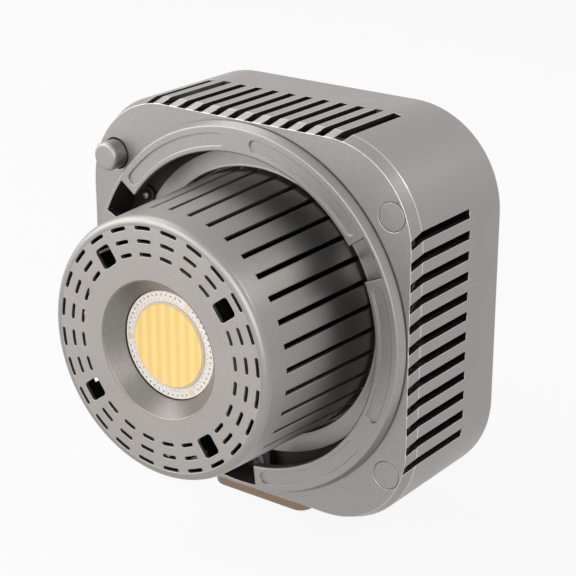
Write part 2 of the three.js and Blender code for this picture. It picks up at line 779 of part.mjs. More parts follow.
// The release button, its lever, the lock pin and the spring that pushes them forward.
function release() {
  const group = new THREE.Group();
  const front = -buttonProud;
  const leverFront = floorBack + runGap;
  const leverBack = leverFront + leverThickness;
  const collarFront = panelThickness + seatGap;
  const button = turned([
    [0, front], [buttonRadius - buttonBevel, front],
    ...quarterRound(buttonRadius - buttonBevel, front + buttonBevel, buttonBevel, -quarterTurn, 0),
    [buttonRadius, collarFront], [buttonRadius + buttonCollar, collarFront],
    [buttonRadius + buttonCollar, collarFront + buttonCollar], [buttonStem, collarFront + buttonCollar],
    [buttonStem, leverFront - seatGap], [0, leverFront - seatGap],
  ], partSteps, buttonX, buttonZ);
  const pin = turned([
    [0, channelDepth - pinProud], [pinRadius - buttonBevel / 2, channelDepth - pinProud],
    [pinRadius, channelDepth - pinProud + buttonBevel / 2], [pinRadius, leverFront - seatGap],
    [0, leverFront - seatGap],
  ], partSteps, pinX, pinZ);
  const length = Math.hypot(pinX - buttonX, pinZ - buttonZ);
  const slope = Math.atan2(pinZ - buttonZ, pinX - buttonX);
  const leverHalf = leverWidth / 2;
  const outline = roundedOutline(length / 2 + leverHalf, leverHalf, leverHalf - weldDistance * 2, arcSteps);
  const lever = plate(outline, leverFront, leverBack).rotateY(-slope)
    .translate((pinX + buttonX) / 2, 0, (pinZ + buttonZ) / 2);
  const springFront = leverBack + springWire + seatGap;
  const springCurve = new SpringCurve(springRadius, springFront, springLength, springTurns);
  const spring = new THREE.ExtrudeGeometry(new THREE.Shape(roundWire()), {
    steps: Math.round(springTurns * springSteps), extrudePath: springCurve, bevelEnabled: false,
  }).translate(buttonX, 0, buttonZ);
  group.add(
    piece("release_button", solid(button), palePaint),
    piece("lock_pin", solid(pin), steelMetal),
    piece("release_lever", solid(lever), steelMetal),
    piece("release_spring", solid(spring), steelMetal),
  );
  return group;
}

// The line that a coil spring follows along Y.
class SpringCurve extends THREE.Curve {
  constructor(radius, start, length, turns) {
    super();
    Object.assign(this, { radius, start, length, turns });
  }

  getPoint(t, target = new THREE.Vector3()) {
    const [x, z] = onCircle(this.radius, t * this.turns * fullTurn);
    return target.set(x, this.start + this.length * t, z);
  }
}

// The six-sided cross-section of the spring wire.
function roundWire() {
  const points = [];
  for (let i = 0; i < hexagon; i++) {
    points.push(new THREE.Vector2(...onCircle(springWire, (fullTurn * i) / hexagon)));
  }
  return points;
}

// Screws, and the flush discs that hide three of them.
function fasteners() {
  const group = new THREE.Group();
  capPlaces.forEach(([x, z], i) => {
    const name = i + 1;
    group.add(piece("screw_cap_" + name, solid(disc(capDiscRadius, 0, capDiscThickness, discSteps, x, z)),
      titaniumPaint));
    group.add(screw("case_screw_" + name, x, z, capDiscThickness + seatGap, caseScrewLength, -1));
  });
  stopPlaces().forEach(([x, z], i) => {
    const head = channelDepth - lipThickness - seatGap / 2;
    group.add(screw("ring_screw_" + (i + 1), x, z, head, flangeBack - head - screwHeadHeight, -1));
  });
  fanScrewPlaces().forEach(([x, z], i) => {
    const head = fanBack + screwHeadHeight + seatGap / 2;
    group.add(screw("fan_screw_" + (i + 1), x, z, head, fanBack - floorFront, 1));
  });
  return group;
}

// The bronze foot under the housing, its threaded insert and its two screws.
function foot() {
  const group = new THREE.Group();
  const middle = (footFront + footBack) / 2;
  const halfY = (footBack - footFront) / 2;
  const faceDepth = -footBottom;
  const standing = (geometry) => geometry.rotateX(rad(-quarterTurn)).translate(0, middle, 0);
  const slab = solid(standing(roundedSlab(footHalf, halfY, footCorner, -footTop, faceDepth)));
  const padOutline = roundedOutline(footHalf - footPadInset, halfY - footPadInset, footCorner, arcSteps);
  const pad = solid(standing(plate(padOutline, bodyHalf, -footTop + overrun)));
  const boreRadius = insertRadius + seatGap;
  const bore = solid(standing(disc(boreRadius, bodyHalf - overrun, faceDepth + overrun, partSteps)));
  const screwAt = (x, radius, from, to) => standing(disc(radius, from, to, smallSteps, x, 0));
  const sides = [-footScrewReach, footScrewReach];
  const holes = solid(...sides.map((x) =>
    screwAt(x, screwRadius + seatGap, bodyHalf - overrun, faceDepth + overrun)));
  const seat = faceDepth - screwHeadHeight - runGap - seatGap;
  const pockets = solid(...sides.map((x) =>
    screwAt(x, screwHeadRadius + seatGap, seat, faceDepth + overrun)));
  const insert = tube(insertBore, insertRadius, bodyHalf + seatGap, faceDepth, partSteps);
  group.add(
    piece("foot_plate", cut(join(slab, pad), bore, holes, pockets), bronzeMetal),
    piece("foot_insert", solid(standing(insert)), brassMetal),
  );
  sides.forEach((x, i) => {
    const head = faceDepth - runGap;
    const shank = head - screwHeadHeight;
    const body = turned([[0, head], [screwHeadRadius, head], [screwHeadRadius, shank], [screwRadius, shank],
      [screwRadius, shank - footScrewLength], [0, shank - footScrewLength]], smallSteps, x, 0);
    const drive = disc(driveRadius, head - driveDepth, head + overrun, hexagon, x, 0);
    group.add(piece("foot_screw_" + (i + 1), cut(solid(standing(body)), solid(standing(drive))), steelMetal));
  });
  return group;
}

// A slab with rounded corners whose upright edges are rounded over at both faces.
function roundedSlab(halfX, halfZ, corner, from, to) {
  const rows = [];
  for (let i = 0; i <= beadSteps; i++) {
    const [along, up] = onCircle(footRound, quarterTurn - (quarterTurn * i) / beadSteps);
    rows.push([along - footRound, from + footRound - up]);
  }
  for (let i = beadSteps; i >= 0; i--) rows.push([rows[i][0], from + to - rows[i][1]]);
  return loft(rows.map(([grow, y]) =>
    ({ outline: roundedOutline(halfX + grow, halfZ + grow, corner + grow, arcSteps), y })));
}

// Places on the rear cover
const displayX = bodyHalf * displayXShare;
const displayZ = bodyHalf * displayZShare;
const dialX = -controlHalfX * dialXShare;
const dialZs = dialZShares.map((share) => bodyHalf * share);
const keyXs = keyXShares.map((share) => bodyHalf * share);
const keyZ = bodyHalf * keyZShare;
const lowZ = bodyHalf * lowRowShare;
const rockerX = bodyHalf * rockerXShare;
const inletX = -rockerX;
const driverPosts = driverScrewZShares.flatMap((share) =>
  [-1, 1].map((side) => [side * driverHalfX * driverScrewXShare, bodyHalf * share]));

// The rear cover, its posts and all its openings.
function rearCover() {
  const corner = cornerRadius - wallThickness - seatGap;
  const sheet = plate(roundedOutline(coverHalf, coverHalf, corner, cornerSteps), coverFront, coverBack);
  const casePosts = capPlaces.map(([x, z]) =>
    tube(screwRadius + seatGap, screwRadius + seatGap + fanCupWall, panelThickness + bossDepth + seatGap,
      coverFront + overrun, partSteps, x, z));
  const springPost = disc(springRadius + springWire, springSeat, coverFront + overrun, partSteps,
    buttonX, buttonZ);
  const boardPosts = driverPosts.map(([x, z]) =>
    tube(screwRadius + seatGap, postRadius, driverBack + seatGap, coverFront + overrun, partSteps, x, z));
  const from = coverFront - overrun;
  const to = coverBack + overrun;
  const windowX = displayHalfX + windowMargin + seatGap;
  const windowZ = displayHalfZ + windowMargin + seatGap;
  const switchX = rockerHalfX + rockerFrameRim;
  const switchZ = rockerHalfZ + rockerFrameRim;
  const openings = [
    plate(roundedOutline(windowX, windowZ, windowCorner, arcSteps, displayX, displayZ), from, to),
    ...dialZs.map((z) => disc(shaftRadius + runGap, from, to, partSteps, dialX, z)),
    ...keyXs.map((x) => disc(buttonKeyRadius + seatGap, from, to, partSteps, x, keyZ)),
    plate(roundedOutline(switchX, switchZ, rockerFrameRim / 2, capSteps, rockerX, lowZ), from, to),
    disc(inletRadius + seatGap, from, to, discSteps, inletX, lowZ),
  ];
  const slotHalf = rearSlotWidth / 2;
  for (let i = 0; i < rearSlotCount; i++) {
    const x = (i - (rearSlotCount - 1) / 2) * rearSlotPitch;
    const z = bodyHalf * rearSlotZShare;
    const outline = roundedOutline(slotHalf, rearSlotHalf, slotHalf - weldDistance * 2, capSteps, x, z);
    openings.push(plate(outline, from, to));
  }
  return cut(join(solid(sheet), solid(...casePosts), solid(springPost), solid(...boardPosts)),
    solid(...openings));
}

// The driver board, what stands on it and the plate that cools it.
function electronics() {
  const group = new THREE.Group();
  const top = bodyHalf * driverTopShare;
  const bottom = -bodyHalf * driverBottomShare;
  const middle = (top + bottom) / 2;
  const board = plate(roundedOutline(driverHalfX, (top - bottom) / 2, boardThickness, capSteps, 0, middle),
    driverFront, driverBack);
  const holes = driverPosts.map(([x, z]) =>
    disc(screwRadius + seatGap, driverFront - overrun, driverBack + overrun, smallSteps, x, z));
  group.add(piece("driver_board", cut(solid(board), solid(...holes)), blackBoard));
  const partY = driverFront - seatGap;
  [1, -1].forEach((side, i) => {
    const can = disc(capacitorRadius, -capacitorLength / 2, capacitorLength / 2, partSteps)
      .rotateZ(rad(quarterTurn))
      .translate(-driverHalfX / 2, partY - capacitorRadius, middle + side * capacitorRadius * 2);
    group.add(piece("capacitor_" + (i + 1), solid(can), darkPaint));
  });
  const coil = new THREE.TorusGeometry(inductorRadius, inductorWire, smallSteps, partSteps)
    .rotateX(rad(quarterTurn)).translate(driverHalfX / 2, partY - inductorWire, middle);
  group.add(piece("inductor", solid(coil), copperMetal));
  const chipHalf = chipWidth / 2;
  const chip = block(-chipHalf, chipHalf, partY - chipHeight, partY, middle - chipHalf, middle + chipHalf);
  group.add(piece("driver_chip", solid(chip), blackPlastic));
  const head = driverFront - seatGap - screwHeadHeight;
  driverPosts.filter(([, z]) => z === driverPosts[0][1]).forEach(([x, z], i) => {
    group.add(screw("driver_screw_" + (i + 1), x, z, head, boardThickness + boardSpacing, -1));
  });
  const coolHalf = driverHalfX * coolPlateShare;
  const coolPlate = block(-coolHalf, coolHalf, driverBack + seatGap, controlFront - seatGap,
    -bodyHalf * coolPlateBottomShare, bodyHalf * coolPlateTopShare);
  group.add(piece("driver_cooling_plate", solid(coolPlate), blackAnodised));
  return group;
}

// The control board with the display that shows through the window in the cover.
function display() {
  const group = new THREE.Group();
  const top = bodyHalf * controlTopShare;
  const bottom = bodyHalf * controlBottomShare;
  const boardOutline = roundedOutline(controlHalfX, (top - bottom) / 2, boardThickness, capSteps,
    0, (top + bottom) / 2);
  const panelOutline = roundedOutline(displayHalfX, displayHalfZ, boardThickness / 2, capSteps,
    displayX, displayZ);
  const windowOutline = roundedOutline(displayHalfX + windowMargin, displayHalfZ + windowMargin, windowCorner,
    arcSteps, displayX, displayZ);
  group.add(
    piece("control_board", solid(plate(boardOutline, controlFront, controlBack)), blackBoard),
    piece("display_panel", solid(plate(panelOutline, controlBack + seatGap, displayBack)), darkPaint),
    piece("display_window", solid(plate(windowOutline, coverBack - windowThickness, coverBack)), clearWindow),
  );
  return group;
}

// A fluted dial on its shaft, with the encoder that it turns in.
function dial(name, z) {
  const group = new THREE.Group();
  const front = coverBack + seatGap;
  const shaftFront = controlBack + seatGap + encoderThickness + seatGap;
  const outline = [];
  for (let i = 0; i < dialFlutes * 2; i++) {
    outline.push(onCircle(dialRadius - (i % 2) * dialFluteDepth, (halfTurn * i) / dialFlutes));
  }
  const grip = solid(plate(outline, front, dialBack - dialFluteDepth * 2));
  const crown = solid(turned([[0, front + overrun], [dialRadius - dialFluteDepth * 2, front + overrun],
    [dialRadius - dialFluteDepth * 2, dialBack - dialFluteDepth], [dialRadius - dialFluteDepth * 3, dialBack],
    [0, dialBack]], discSteps));
  const bore = solid(disc(shaftRadius + seatGap, front - overrun, dialBack - shaftCover, partSteps));
  const knob = piece(name + "_dial", cut(join(grip, crown), bore), titaniumPaint);
  const shaft = piece(name + "_shaft", solid(disc(shaftRadius, shaftFront, dialBack - shaftCover - seatGap,
    partSteps)), steelMetal);
  const encoder = piece(name + "_encoder", solid(block(-encoderHalf, encoderHalf, controlBack + seatGap,
    controlBack + seatGap + encoderThickness, -encoderHalf, encoderHalf)), blackPlastic);
  group.add(knob, shaft, encoder);
  group.position.set(dialX, 0, z);
  return group;
}

// A round push key that is held behind the cover by its flange.
function key(name, x) {
  const flangeBackY = coverFront - seatGap;
  const front = flangeBackY - buttonKeyFlange;
  const back = coverBack + buttonKeyProud;
  return piece(name, solid(turned([
    [0, front], [buttonKeyRadius + buttonKeyFlange, front], [buttonKeyRadius + buttonKeyFlange, flangeBackY],
    [buttonKeyRadius, flangeBackY], [buttonKeyRadius, back - buttonKeyFlange / 2],
    [buttonKeyRadius - buttonKeyFlange / 2, back], [0, back],
  ], partSteps, x, keyZ)), titaniumPaint);
}

// The power switch: a frame in the cover and a rocker that tips about X inside it.
function powerSwitch() {
  const group = new THREE.Group();
  const back = coverBack + rockerFrameProud;
  const bodyFront = coverBack - rockerDepth;
  const openX = rockerHalfX;
  const openZ = rockerHalfZ;
  const frameReach = rockerFrameRim - seatGap;
  const flangeReachOut = rockerFrameRim + rockerFlange;
  const frame = solid(plate(roundedOutline(openX + frameReach, openZ + frameReach, rockerFrameRim / 2,
    capSteps, rockerX, lowZ), bodyFront, back));
  const flange = solid(plate(roundedOutline(openX + flangeReachOut, openZ + flangeReachOut, rockerFrameRim,
    capSteps, rockerX, lowZ), coverBack + seatGap / 2, back));
  const well = solid(block(rockerX - openX, rockerX + openX, bodyFront + overrun, back + overrun,
    lowZ - openZ, lowZ + openZ));
  group.add(piece("power_frame", cut(join(frame, flange), well), blackPlastic));
  const halfX = openX - seatGap;
  const halfZ = openZ - runGap;
  const rise = rockerDip * 2;
  const pivot = back - rise;
  const outline = new THREE.Shape([[0, back - rockerDip + rockerCrown], [halfZ, back + rise - rockerDip],
    [halfZ, back - rise], [halfZ / 2, bodyFront + rise], [-halfZ / 2, bodyFront + rise],
    [-halfZ, back - rise], [-halfZ, back + rise - rockerDip]].map(([z, y]) => new THREE.Vector2(-z, y)));
  const rocker = new THREE.ExtrudeGeometry(outline, { depth: halfX * 2, bevelEnabled: false })
    .translate(0, 0, -halfX).rotateY(rad(quarterTurn)).translate(0, -pivot, 0).rotateX(rad(rockerTilt))
    .translate(rockerX, pivot, lowZ);
  group.add(piece("power_rocker", solid(rocker), blackPlastic));
  return group;
}

// The direct-current inlet with its three contact pins.
function inlet() {
  const group = new THREE.Group();
  const rimFront = coverBack + seatGap / 2;
  const rimBack = rimFront + inletRimThickness;
  const floor = rimBack - inletDepth;
  const front = floor - inletWall;
  const shell = solid(turned([
    [0, front], [inletRadius, front], [inletRadius, rimFront], [inletRadius + inletRim, rimFront],
    [inletRadius + inletRim, rimBack], [inletRadius - inletWall, rimBack], [inletRadius - inletWall, floor],
    [0, floor],
  ], discSteps, inletX, lowZ));
  const places = [];
  for (let i = 0; i < inletPinCount; i++) {
    const [x, z] = onCircle(inletPinCircle, quarterTurn + (fullTurn * i) / inletPinCount);
    places.push([inletX + x, lowZ + z]);
  }
  const holes = places.map(([x, z]) => disc(inletPinRadius + seatGap / 2, front - overrun, floor + overrun,
    smallSteps, x, z));
  group.add(piece("dc_inlet", cut(shell, solid(...holes)), darkPaint));
  places.forEach(([x, z], i) => {
    const pin = disc(inletPinRadius, front + seatGap, rimFront, smallSteps, x, z);
    group.add(piece("inlet_pin_" + (i + 1), solid(pin), brassMetal));
  });
  return group;
}

// Puts the whole light together and sets it down over the origin.
function light() {
  const whole = new THREE.Group();
  const mount = new THREE.Group();
  const nose = new THREE.Group();
  const rear = new THREE.Group();
  mount.add(
    piece("mount_ring", mountRing(), palePaint),
    piece("channel_floor", channelFloor(), blackPlastic),
    piece("inner_shroud", innerShroud(), palePaint),
  );
  nose.add(
    piece("nose_barrel", noseBarrel(), titaniumPaint),
    piece("front_cap", frontCap(), titaniumPaint),
    lightSource(),
  );
  rear.add(piece("rear_cover", rearCover(), titaniumPaint), electronics(), display(), powerSwitch(), inlet());
  ["brightness", "colour"].forEach((name, i) => rear.add(dial(name, dialZs[i])));
  ["mode_button", "menu_button"].forEach((name, i) => rear.add(key(name, keyXs[i])));
  const housing = piece("main_housing", mainHousing(), titaniumPaint);
  whole.add(housing, mount, nose, fan(), release(), fasteners(), foot(), rear);
  whole.position.set(0, -(noseFace + dialBack) / 2, -footBottom);
  whole.name = "led_video_light";
  return whole;
}

export default light();
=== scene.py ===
# %% [markdown]
# # A compact LED video light, dressed in Blender
# The solids of this light come from its CAD model. This notebook loads them as a fixed frame, sets up the
# camera and the lamps, and gives every surface the look of the real one. Where a form needs finer facets
# than the solids have, it is modelled again with bmesh operators in the same place.

import json
import math

import bmesh
import bpy
from bmesh.types import BMEdge, BMFace, BMVert
from mathutils import Matrix, Vector


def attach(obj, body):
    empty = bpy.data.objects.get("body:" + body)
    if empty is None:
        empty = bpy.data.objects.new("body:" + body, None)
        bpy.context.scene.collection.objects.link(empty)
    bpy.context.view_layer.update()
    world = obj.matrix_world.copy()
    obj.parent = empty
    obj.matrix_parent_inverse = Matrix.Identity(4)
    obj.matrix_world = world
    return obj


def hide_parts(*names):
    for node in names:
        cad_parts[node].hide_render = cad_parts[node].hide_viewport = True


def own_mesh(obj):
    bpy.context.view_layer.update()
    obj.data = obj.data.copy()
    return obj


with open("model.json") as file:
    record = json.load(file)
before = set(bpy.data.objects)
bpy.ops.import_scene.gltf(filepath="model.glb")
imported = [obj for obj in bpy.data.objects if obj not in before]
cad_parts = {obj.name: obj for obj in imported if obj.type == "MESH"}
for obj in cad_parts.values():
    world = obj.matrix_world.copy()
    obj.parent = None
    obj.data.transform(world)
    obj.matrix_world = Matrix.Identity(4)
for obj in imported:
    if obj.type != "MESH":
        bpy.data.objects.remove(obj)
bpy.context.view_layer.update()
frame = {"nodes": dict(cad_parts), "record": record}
print("loaded", len(frame["nodes"]), "nodes")

# %% [markdown]
# ## Units and the lamp axis
# Sizes are written in millimetres and turned to metres by one factor. The lamp axis runs along Y at the
# height of the housing's centre, and the front panel is the plane that most depths are counted from.

# %% Units and axis
mm = 0.001
axis_z = 71.0 * mm
panel_y = -7.975 * mm
lamp_centre = Vector((0, 0, axis_z))
print("front panel at y =", round(panel_y, 5), "lamp axis at z =", axis_z)

# %% [markdown]
# ## The camera
# The photograph is taken from the light's front right and a little above, with a long lens. The camera's
# place and focal length were worked out from the corners and circles of the object in the picture.

# %% Camera at the photograph's viewing angle
def add_object(name, data):
    """A new object of the scene."""
    made = bpy.data.objects.new(name, data)
    bpy.context.scene.collection.objects.link(made)
    return made


camera_data = bpy.data.cameras.new("portrait_camera")
camera_data.lens = 107.1
camera_data.sensor_width = 36.0
camera_data.clip_start = 0.01
camera = add_object("portrait_camera", camera_data)
view_right = Vector((0.80182, 0.59757, 0.0))
view_up = Vector((-0.21101, 0.28314, 0.93558))
view_back = Vector((0.55907, -0.75017, 0.35312))
camera_place = Vector((0.32032, -0.40594 + panel_y, 0.20271 + axis_z))
camera_turn = Matrix((view_right, view_up, view_back)).transposed().to_4x4()
camera.matrix_world = Matrix.Translation(camera_place) @ camera_turn
bpy.context.scene.camera = camera
print("camera at", tuple(round(v, 4) for v in camera.location))

# %% [markdown]
# ## Node materials
# Small functions turn hex colours to Blender's values, add a node and start a material.

# %% Helpers that make node materials
def linear(hex_value):
    """An sRGB hex colour as the linear values that Blender's sockets take."""
    channels = [int(hex_value[i:i + 2], 16) / 255 for i in (1, 3, 5)]
    return [c / 12.92 if c <= 0.04045 else ((c + 0.055) / 1.055) ** 2.4 for c in channels] + [1.0]


def add_node(tree, kind, inputs=None, **settings):
    """Adds one node with its settings; inputs maps a socket to a value or to the output that feeds it."""
    node = tree.nodes.new(kind)
    for key, value in settings.items():
        setattr(node, key, value)
    for socket, value in (inputs or {}).items():
        if isinstance(value, bpy.types.NodeSocket):
            tree.links.new(value, node.inputs[socket])
        else:
            node.inputs[socket].default_value = value
    return node


def new_material(name):
    """An empty node material with its output node."""
    material = bpy.data.materials.new(name)
    material.use_nodes = True
    material.node_tree.nodes.clear()
    return material, material.node_tree, add_node(material.node_tree, "ShaderNodeOutputMaterial")


# %% [markdown]
# ## White ground
# The ground glows white to the camera, to mirrored rays and to rays through glass. The small part of it
# that doesn't glow is paper, which still takes the light's shadow.

# %% Ground that is white to the camera
def shows_background(tree):
    """One for the camera's rays and for those mirrored or bent in glass."""
    rays = add_node(tree, "ShaderNodeLightPath").outputs
    seen = rays["Is Camera Ray"]
    for other in ("Is Glossy Ray", "Is Transmission Ray"):
        seen = add_node(tree, "ShaderNodeMath", {0: seen, 1: rays[other]}, operation="MAXIMUM").outputs[0]
    return seen


glow_share = 0.9
ground_half = 4.0
ground_paper, tree, out = new_material("white_paper_ground")
paper = add_node(tree, "ShaderNodeBsdfPrincipled", {"Base Color": linear("#f6f5f4"), "Roughness": 0.9})
glow = add_node(tree, "ShaderNodeEmission", {"Color": linear("#ffffff"), "Strength": 1.0})
share = add_node(tree, "ShaderNodeMath", {0: shows_background(tree), 1: glow_share}, operation="MULTIPLY")
inputs = {0: share.outputs[0], 1: paper.outputs[0], 2: glow.outputs[0]}
tree.links.new(add_node(tree, "ShaderNodeMixShader", inputs).outputs[0], out.inputs["Surface"])

shape = bmesh.new()
bmesh.ops.create_grid(shape, x_segments=1, y_segments=1, size=ground_half)
ground_mesh = bpy.data.meshes.new("ground")
shape.to_mesh(ground_mesh)
shape.free()
ground_mesh.materials.append(ground_paper)
ground = add_object("ground", ground_mesh)
print("ground of", round(ground.dimensions.x, 1), "m")

# %% [markdown]
# ## Soft studio lamps
# The widest lamp stands far out on the left, a little above the light, and a second one beside the camera
# opens the shadows. Two small ones above and behind the left side brighten the upper bevel, and one behind
# the right side draws the line along the upper right corner. A weak grey room fills the rest.

# %% Lamps and the surrounding white
def soft_lamp(name, place, size, power):
    """A square lamp that is turned to the middle of the light."""
    data = bpy.data.lights.new(name, "AREA")
    data.size = size
    data.energy = power
    lamp = add_object(name, data)
    lamp.location = place
    lamp.rotation_euler = (lamp_centre - Vector(place)).to_track_quat("-Z", "Y").to_euler()


soft_lamp("key_softbox", (-1.0, -0.78, 0.3), 1.7, 20.0)
soft_lamp("camera_side", (0.5, -1.2, 0.36), 1.1, 8.0)
soft_lamp("above_left", (-0.65, -0.1, 1.0), 0.6, 2.0)
soft_lamp("behind_left", (-0.67, 0.39, 0.98), 0.4, 0.8)
soft_lamp("rim_light", (0.85, 0.55, 0.9), 0.3, 1.6)

world = bpy.data.worlds.new("studio_white")
world.use_nodes = True
bpy.context.scene.world = world
tree = world.node_tree
tree.nodes.clear()
room = add_node(tree, "ShaderNodeBackground", {"Color": linear("#e9ebee"), "Strength": 0.24})
white = add_node(tree, "ShaderNodeBackground", {"Color": linear("#ffffff"), "Strength": 1.0})
inputs = {0: shows_background(tree), 1: room.outputs[0], 2: white.outputs[0]}
choose = add_node(tree, "ShaderNodeMixShader", inputs)
add_node(tree, "ShaderNodeOutputWorld", {"Surface": choose.outputs[0]})
bpy.context.scene.view_settings.view_transform = "Standard"

# %% [markdown]
# ## Titanium-grey paint on die-cast aluminium
# The housing, nose and cover are die-cast aluminium, sprayed with a warm grey paint that holds metal flake.
# The flake gives a grain of about a third of a millimetre. Along edges the paint is paler and smoother, as a
# painted highlight.

# %% Textures and shaders that the materials share
relief_depth = 0.05


def object_noise(tree, grain, detail=2.0, roughness=0.5):
    """Noise that is fixed to the object, with its grain in millimetres."""
    place = add_node(tree, "ShaderNodeTexCoord").outputs["Object"]
    settings = {"Vector": place, "Scale": 1 / (grain * mm), "Detail": detail, "Roughness": roughness}
    return add_node(tree, "ShaderNodeTexNoise", settings).outputs["Fac"]


def remap(tree, value, low, high, to_low=0.0, to_high=1.0):
    """Stretches what lies between low and high to another range."""
    ends = {"Value": value, "From Min": low, "From Max": high, "To Min": to_low, "To Max": to_high}
    return add_node(tree, "ShaderNodeMapRange", ends).outputs[0]


def mix_colours(tree, share, first, second):
    """Two hex colours, mixed by the share of the second one."""
    return add_node(tree, "ShaderNodeMixRGB", {0: share, 1: linear(first), 2: linear(second)}).outputs[0]


def fine_relief(tree, height, strength, edge, samples):
    """A shallow relief on normals that are rounded at the edges."""
    normal = add_node(tree, "ShaderNodeBevel", {"Radius": edge * mm}, samples=samples).outputs[0]
    depth = relief_depth * mm
    relief = {"Strength": strength, "Distance": depth, "Height": height, "Normal": normal}
    return add_node(tree, "ShaderNodeBump", relief).outputs[0]


def close_material(tree, out, inputs):
    """Adds the surface shader with its inputs and links it to the output."""
    surface = add_node(tree, "ShaderNodeBsdfPrincipled", inputs)
    tree.links.new(surface.outputs[0], out.inputs["Surface"])


# %% A paint with metal flake
flake_grain, cloud_grain = 0.34, 26.0


def flake_paint(name, pale, dark, roughness, metallic=0.93):
    """Metallic paint: two greys mixed by a fine grain, a slight orange peel and softened edges."""
    material, tree, out = new_material(name)
    flake = object_noise(tree, flake_grain, 1.5, 0.6)
    cloud = object_noise(tree, cloud_grain)
    tone = remap(tree, flake, 0.3, 0.7)
    sheen = remap(tree, cloud, 0.3, 0.7, roughness - 0.04, roughness + 0.04)
    close_material(tree, out, {"Base Color": mix_colours(tree, tone, dark, pale), "Roughness": sheen,
                               "Metallic": metallic, "Normal": fine_relief(tree, flake, 0.08, 0.35, 6)})
    return material


titanium_paint = flake_paint("titanium_grey_flake_paint", "#a09c99", "#93908d", 0.4)
ring_paint = flake_paint("pale_titanium_paint", "#a29e9b", "#959290", 0.4)
# Paler, smoother paint on the housing's edges and strip: a painted highlight.
edge_highlight_paint = flake_paint("painted_highlight_titanium_paint", "#cdc8c4", "#c0bbb7", 0.3)
face_paint = flake_paint("warm_titanium_paint", "#aea9a5", "#a29d99", 0.4)
# Paler paint on the ring's rounded edges: a painted highlight.
ring_highlight_paint = flake_paint("painted_highlight_pale_paint", "#b2aeab", "#a7a3a0", 0.38)
control_paint = flake_paint("dark_titanium_paint", "#8f8b87", "#7a7672", 0.38, 0.9)
print("paints:", [m.name for m in bpy.data.materials if m.name.endswith("paint")])

# %% [markdown]
# ## Moulded plastics, bare metals and the light source
# Behind the slots everything is black, so that nothing inside shows: nylon mouldings, a cooler of extruded
# aluminium that is anodised black, and the inner faces and slot walls of the painted shells, whose black is
# painted shade. The screws are zinc-plated steel, and the foot is anodised in bronze.

# %% Plain materials with a fine surface
def fine_surface(name, colour, second, roughness, metallic, grain, relief):
    """Two close colours with a fine grain in gloss, tone and relief."""
    material, tree, out = new_material(name)
    noise = object_noise(tree, grain)
    gloss = remap(tree, noise, 0.3, 0.7, roughness - 0.05, roughness + 0.05)
    close_material(tree, out, {"Base Color": mix_colours(tree, noise, colour, second), "Roughness": gloss,
                               "Metallic": metallic, "Normal": fine_relief(tree, noise, relief, 0.25, 4)})
    return material


black_nylon_and_shade = fine_surface("black_moulded_nylon", "#191817", "#242220", 0.6, 0.0, 0.5, 0.25)
dark_zinc = fine_surface("dark_painted_zinc", "#2b2927", "#353230", 0.5, 0.2, 0.5, 0.2)
black_anodised = fine_surface("black_anodised_aluminium", "#1d1c1b", "#262423", 0.4, 0.7, 0.8, 0.15)
zinc_steel = fine_surface("zinc_plated_steel", "#9a9c9d", "#868889", 0.42, 1.0, 0.6, 0.1)
bronze_anodised = fine_surface("bronze_anodised_aluminium", "#83705f", "#8d7a69", 0.3, 1.0, 0.5, 0.1)
copper_wire = fine_surface("enamelled_copper", "#a85f38", "#bb7448", 0.3, 1.0, 0.6, 0.2)
turned_brass = fine_surface("turned_brass", "#c0a060", "#ad8c4c", 0.28, 1.0, 0.6, 0.1)
black_laminate = fine_surface("black_solder_mask", "#151716", "#1c1f1d", 0.4, 0.0, 0.8, 0.1)
white_silicone = fine_surface("white_silicone", "#d9cabc", "#d2c3b5", 0.5, 0.0, 0.5, 0.05)
solder_brown = fine_surface("solder_dots", "#8a6a58", "#9c7a66", 0.4, 0.6, 0.3, 0.05)
pale_gold = fine_surface("pale_gold_pads", "#e8cfa6", "#f0dab8", 0.35, 0.8, 0.4, 0.05)
display_black = fine_surface("display_black", "#101214", "#14171a", 0.3, 0.0, 0.6, 0.03)

# %% White ceramic with fine tan specks
speck_pitch = 0.62
white_ceramic, tree, out = new_material("white_ceramic_board")
place = add_node(tree, "ShaderNodeTexCoord").outputs["Object"]
specks = add_node(tree, "ShaderNodeTexVoronoi", {"Vector": place, "Scale": 1 / (speck_pitch * mm)})
glaze = mix_colours(tree, remap(tree, specks.outputs["Distance"], 0.2, 0.32), "#cfb49a", "#ebe5df")
close_material(tree, out, {"Base Color": glaze, "Roughness": 0.4, "IOR": 1.5})

# %% Silicone with phosphor over the light-emitting disc
stripe_pitch, wave_period = 3.8, 0.314159
phosphor_gel, tree, out = new_material("phosphor_silicone")
place = add_node(tree, "ShaderNodeTexCoord").outputs["Object"]
scale = wave_period / (stripe_pitch * mm)
stripes = add_node(tree, "ShaderNodeTexWave", {"Vector": place, "Scale": scale}, bands_direction="X")
gel = mix_colours(tree, remap(tree, stripes.outputs["Fac"], 0.2, 0.8), "#f3cd80", "#f9da8c")
close_material(tree, out, {"Base Color": gel, "Roughness": 0.35, "Specular IOR Level": 0.4})

# %% Smoked window over the display
haze_grain = 9.0
smoked_window, tree, out = new_material("smoked_acrylic")
gloss = remap(tree, object_noise(tree, haze_grain), 0.0, 1.0, 0.05, 0.11)
close_material(tree, out, {"Base Color": linear("#0c0e11"), "IOR": 1.49, "Roughness": gloss})

# %% Hand every node the material of its slot
looks = {
    "body_paint": titanium_paint, "ring_paint": ring_paint, "control_paint": control_paint,
    "black_anodised": black_anodised, "copper_winding": copper_wire, "bronze_anodised": bronze_anodised,
    "brass": turned_brass, "led_substrate": white_ceramic, "led_phosphor": phosphor_gel,
    "circuit_board": black_laminate, "display_glass": smoked_window, "display_dark": display_black,
    "steel": zinc_steel, "dark_moulding": dark_zinc, "black_moulding": black_nylon_and_shade,
}
slot_of = {part["node"]: part["material_slot"] for part in frame["record"]["subparts"]}
for name, node in frame["nodes"].items():
    for slot in node.material_slots:
        slot.material = looks[slot_of[name]]
print("dressed", len(slot_of), "nodes")

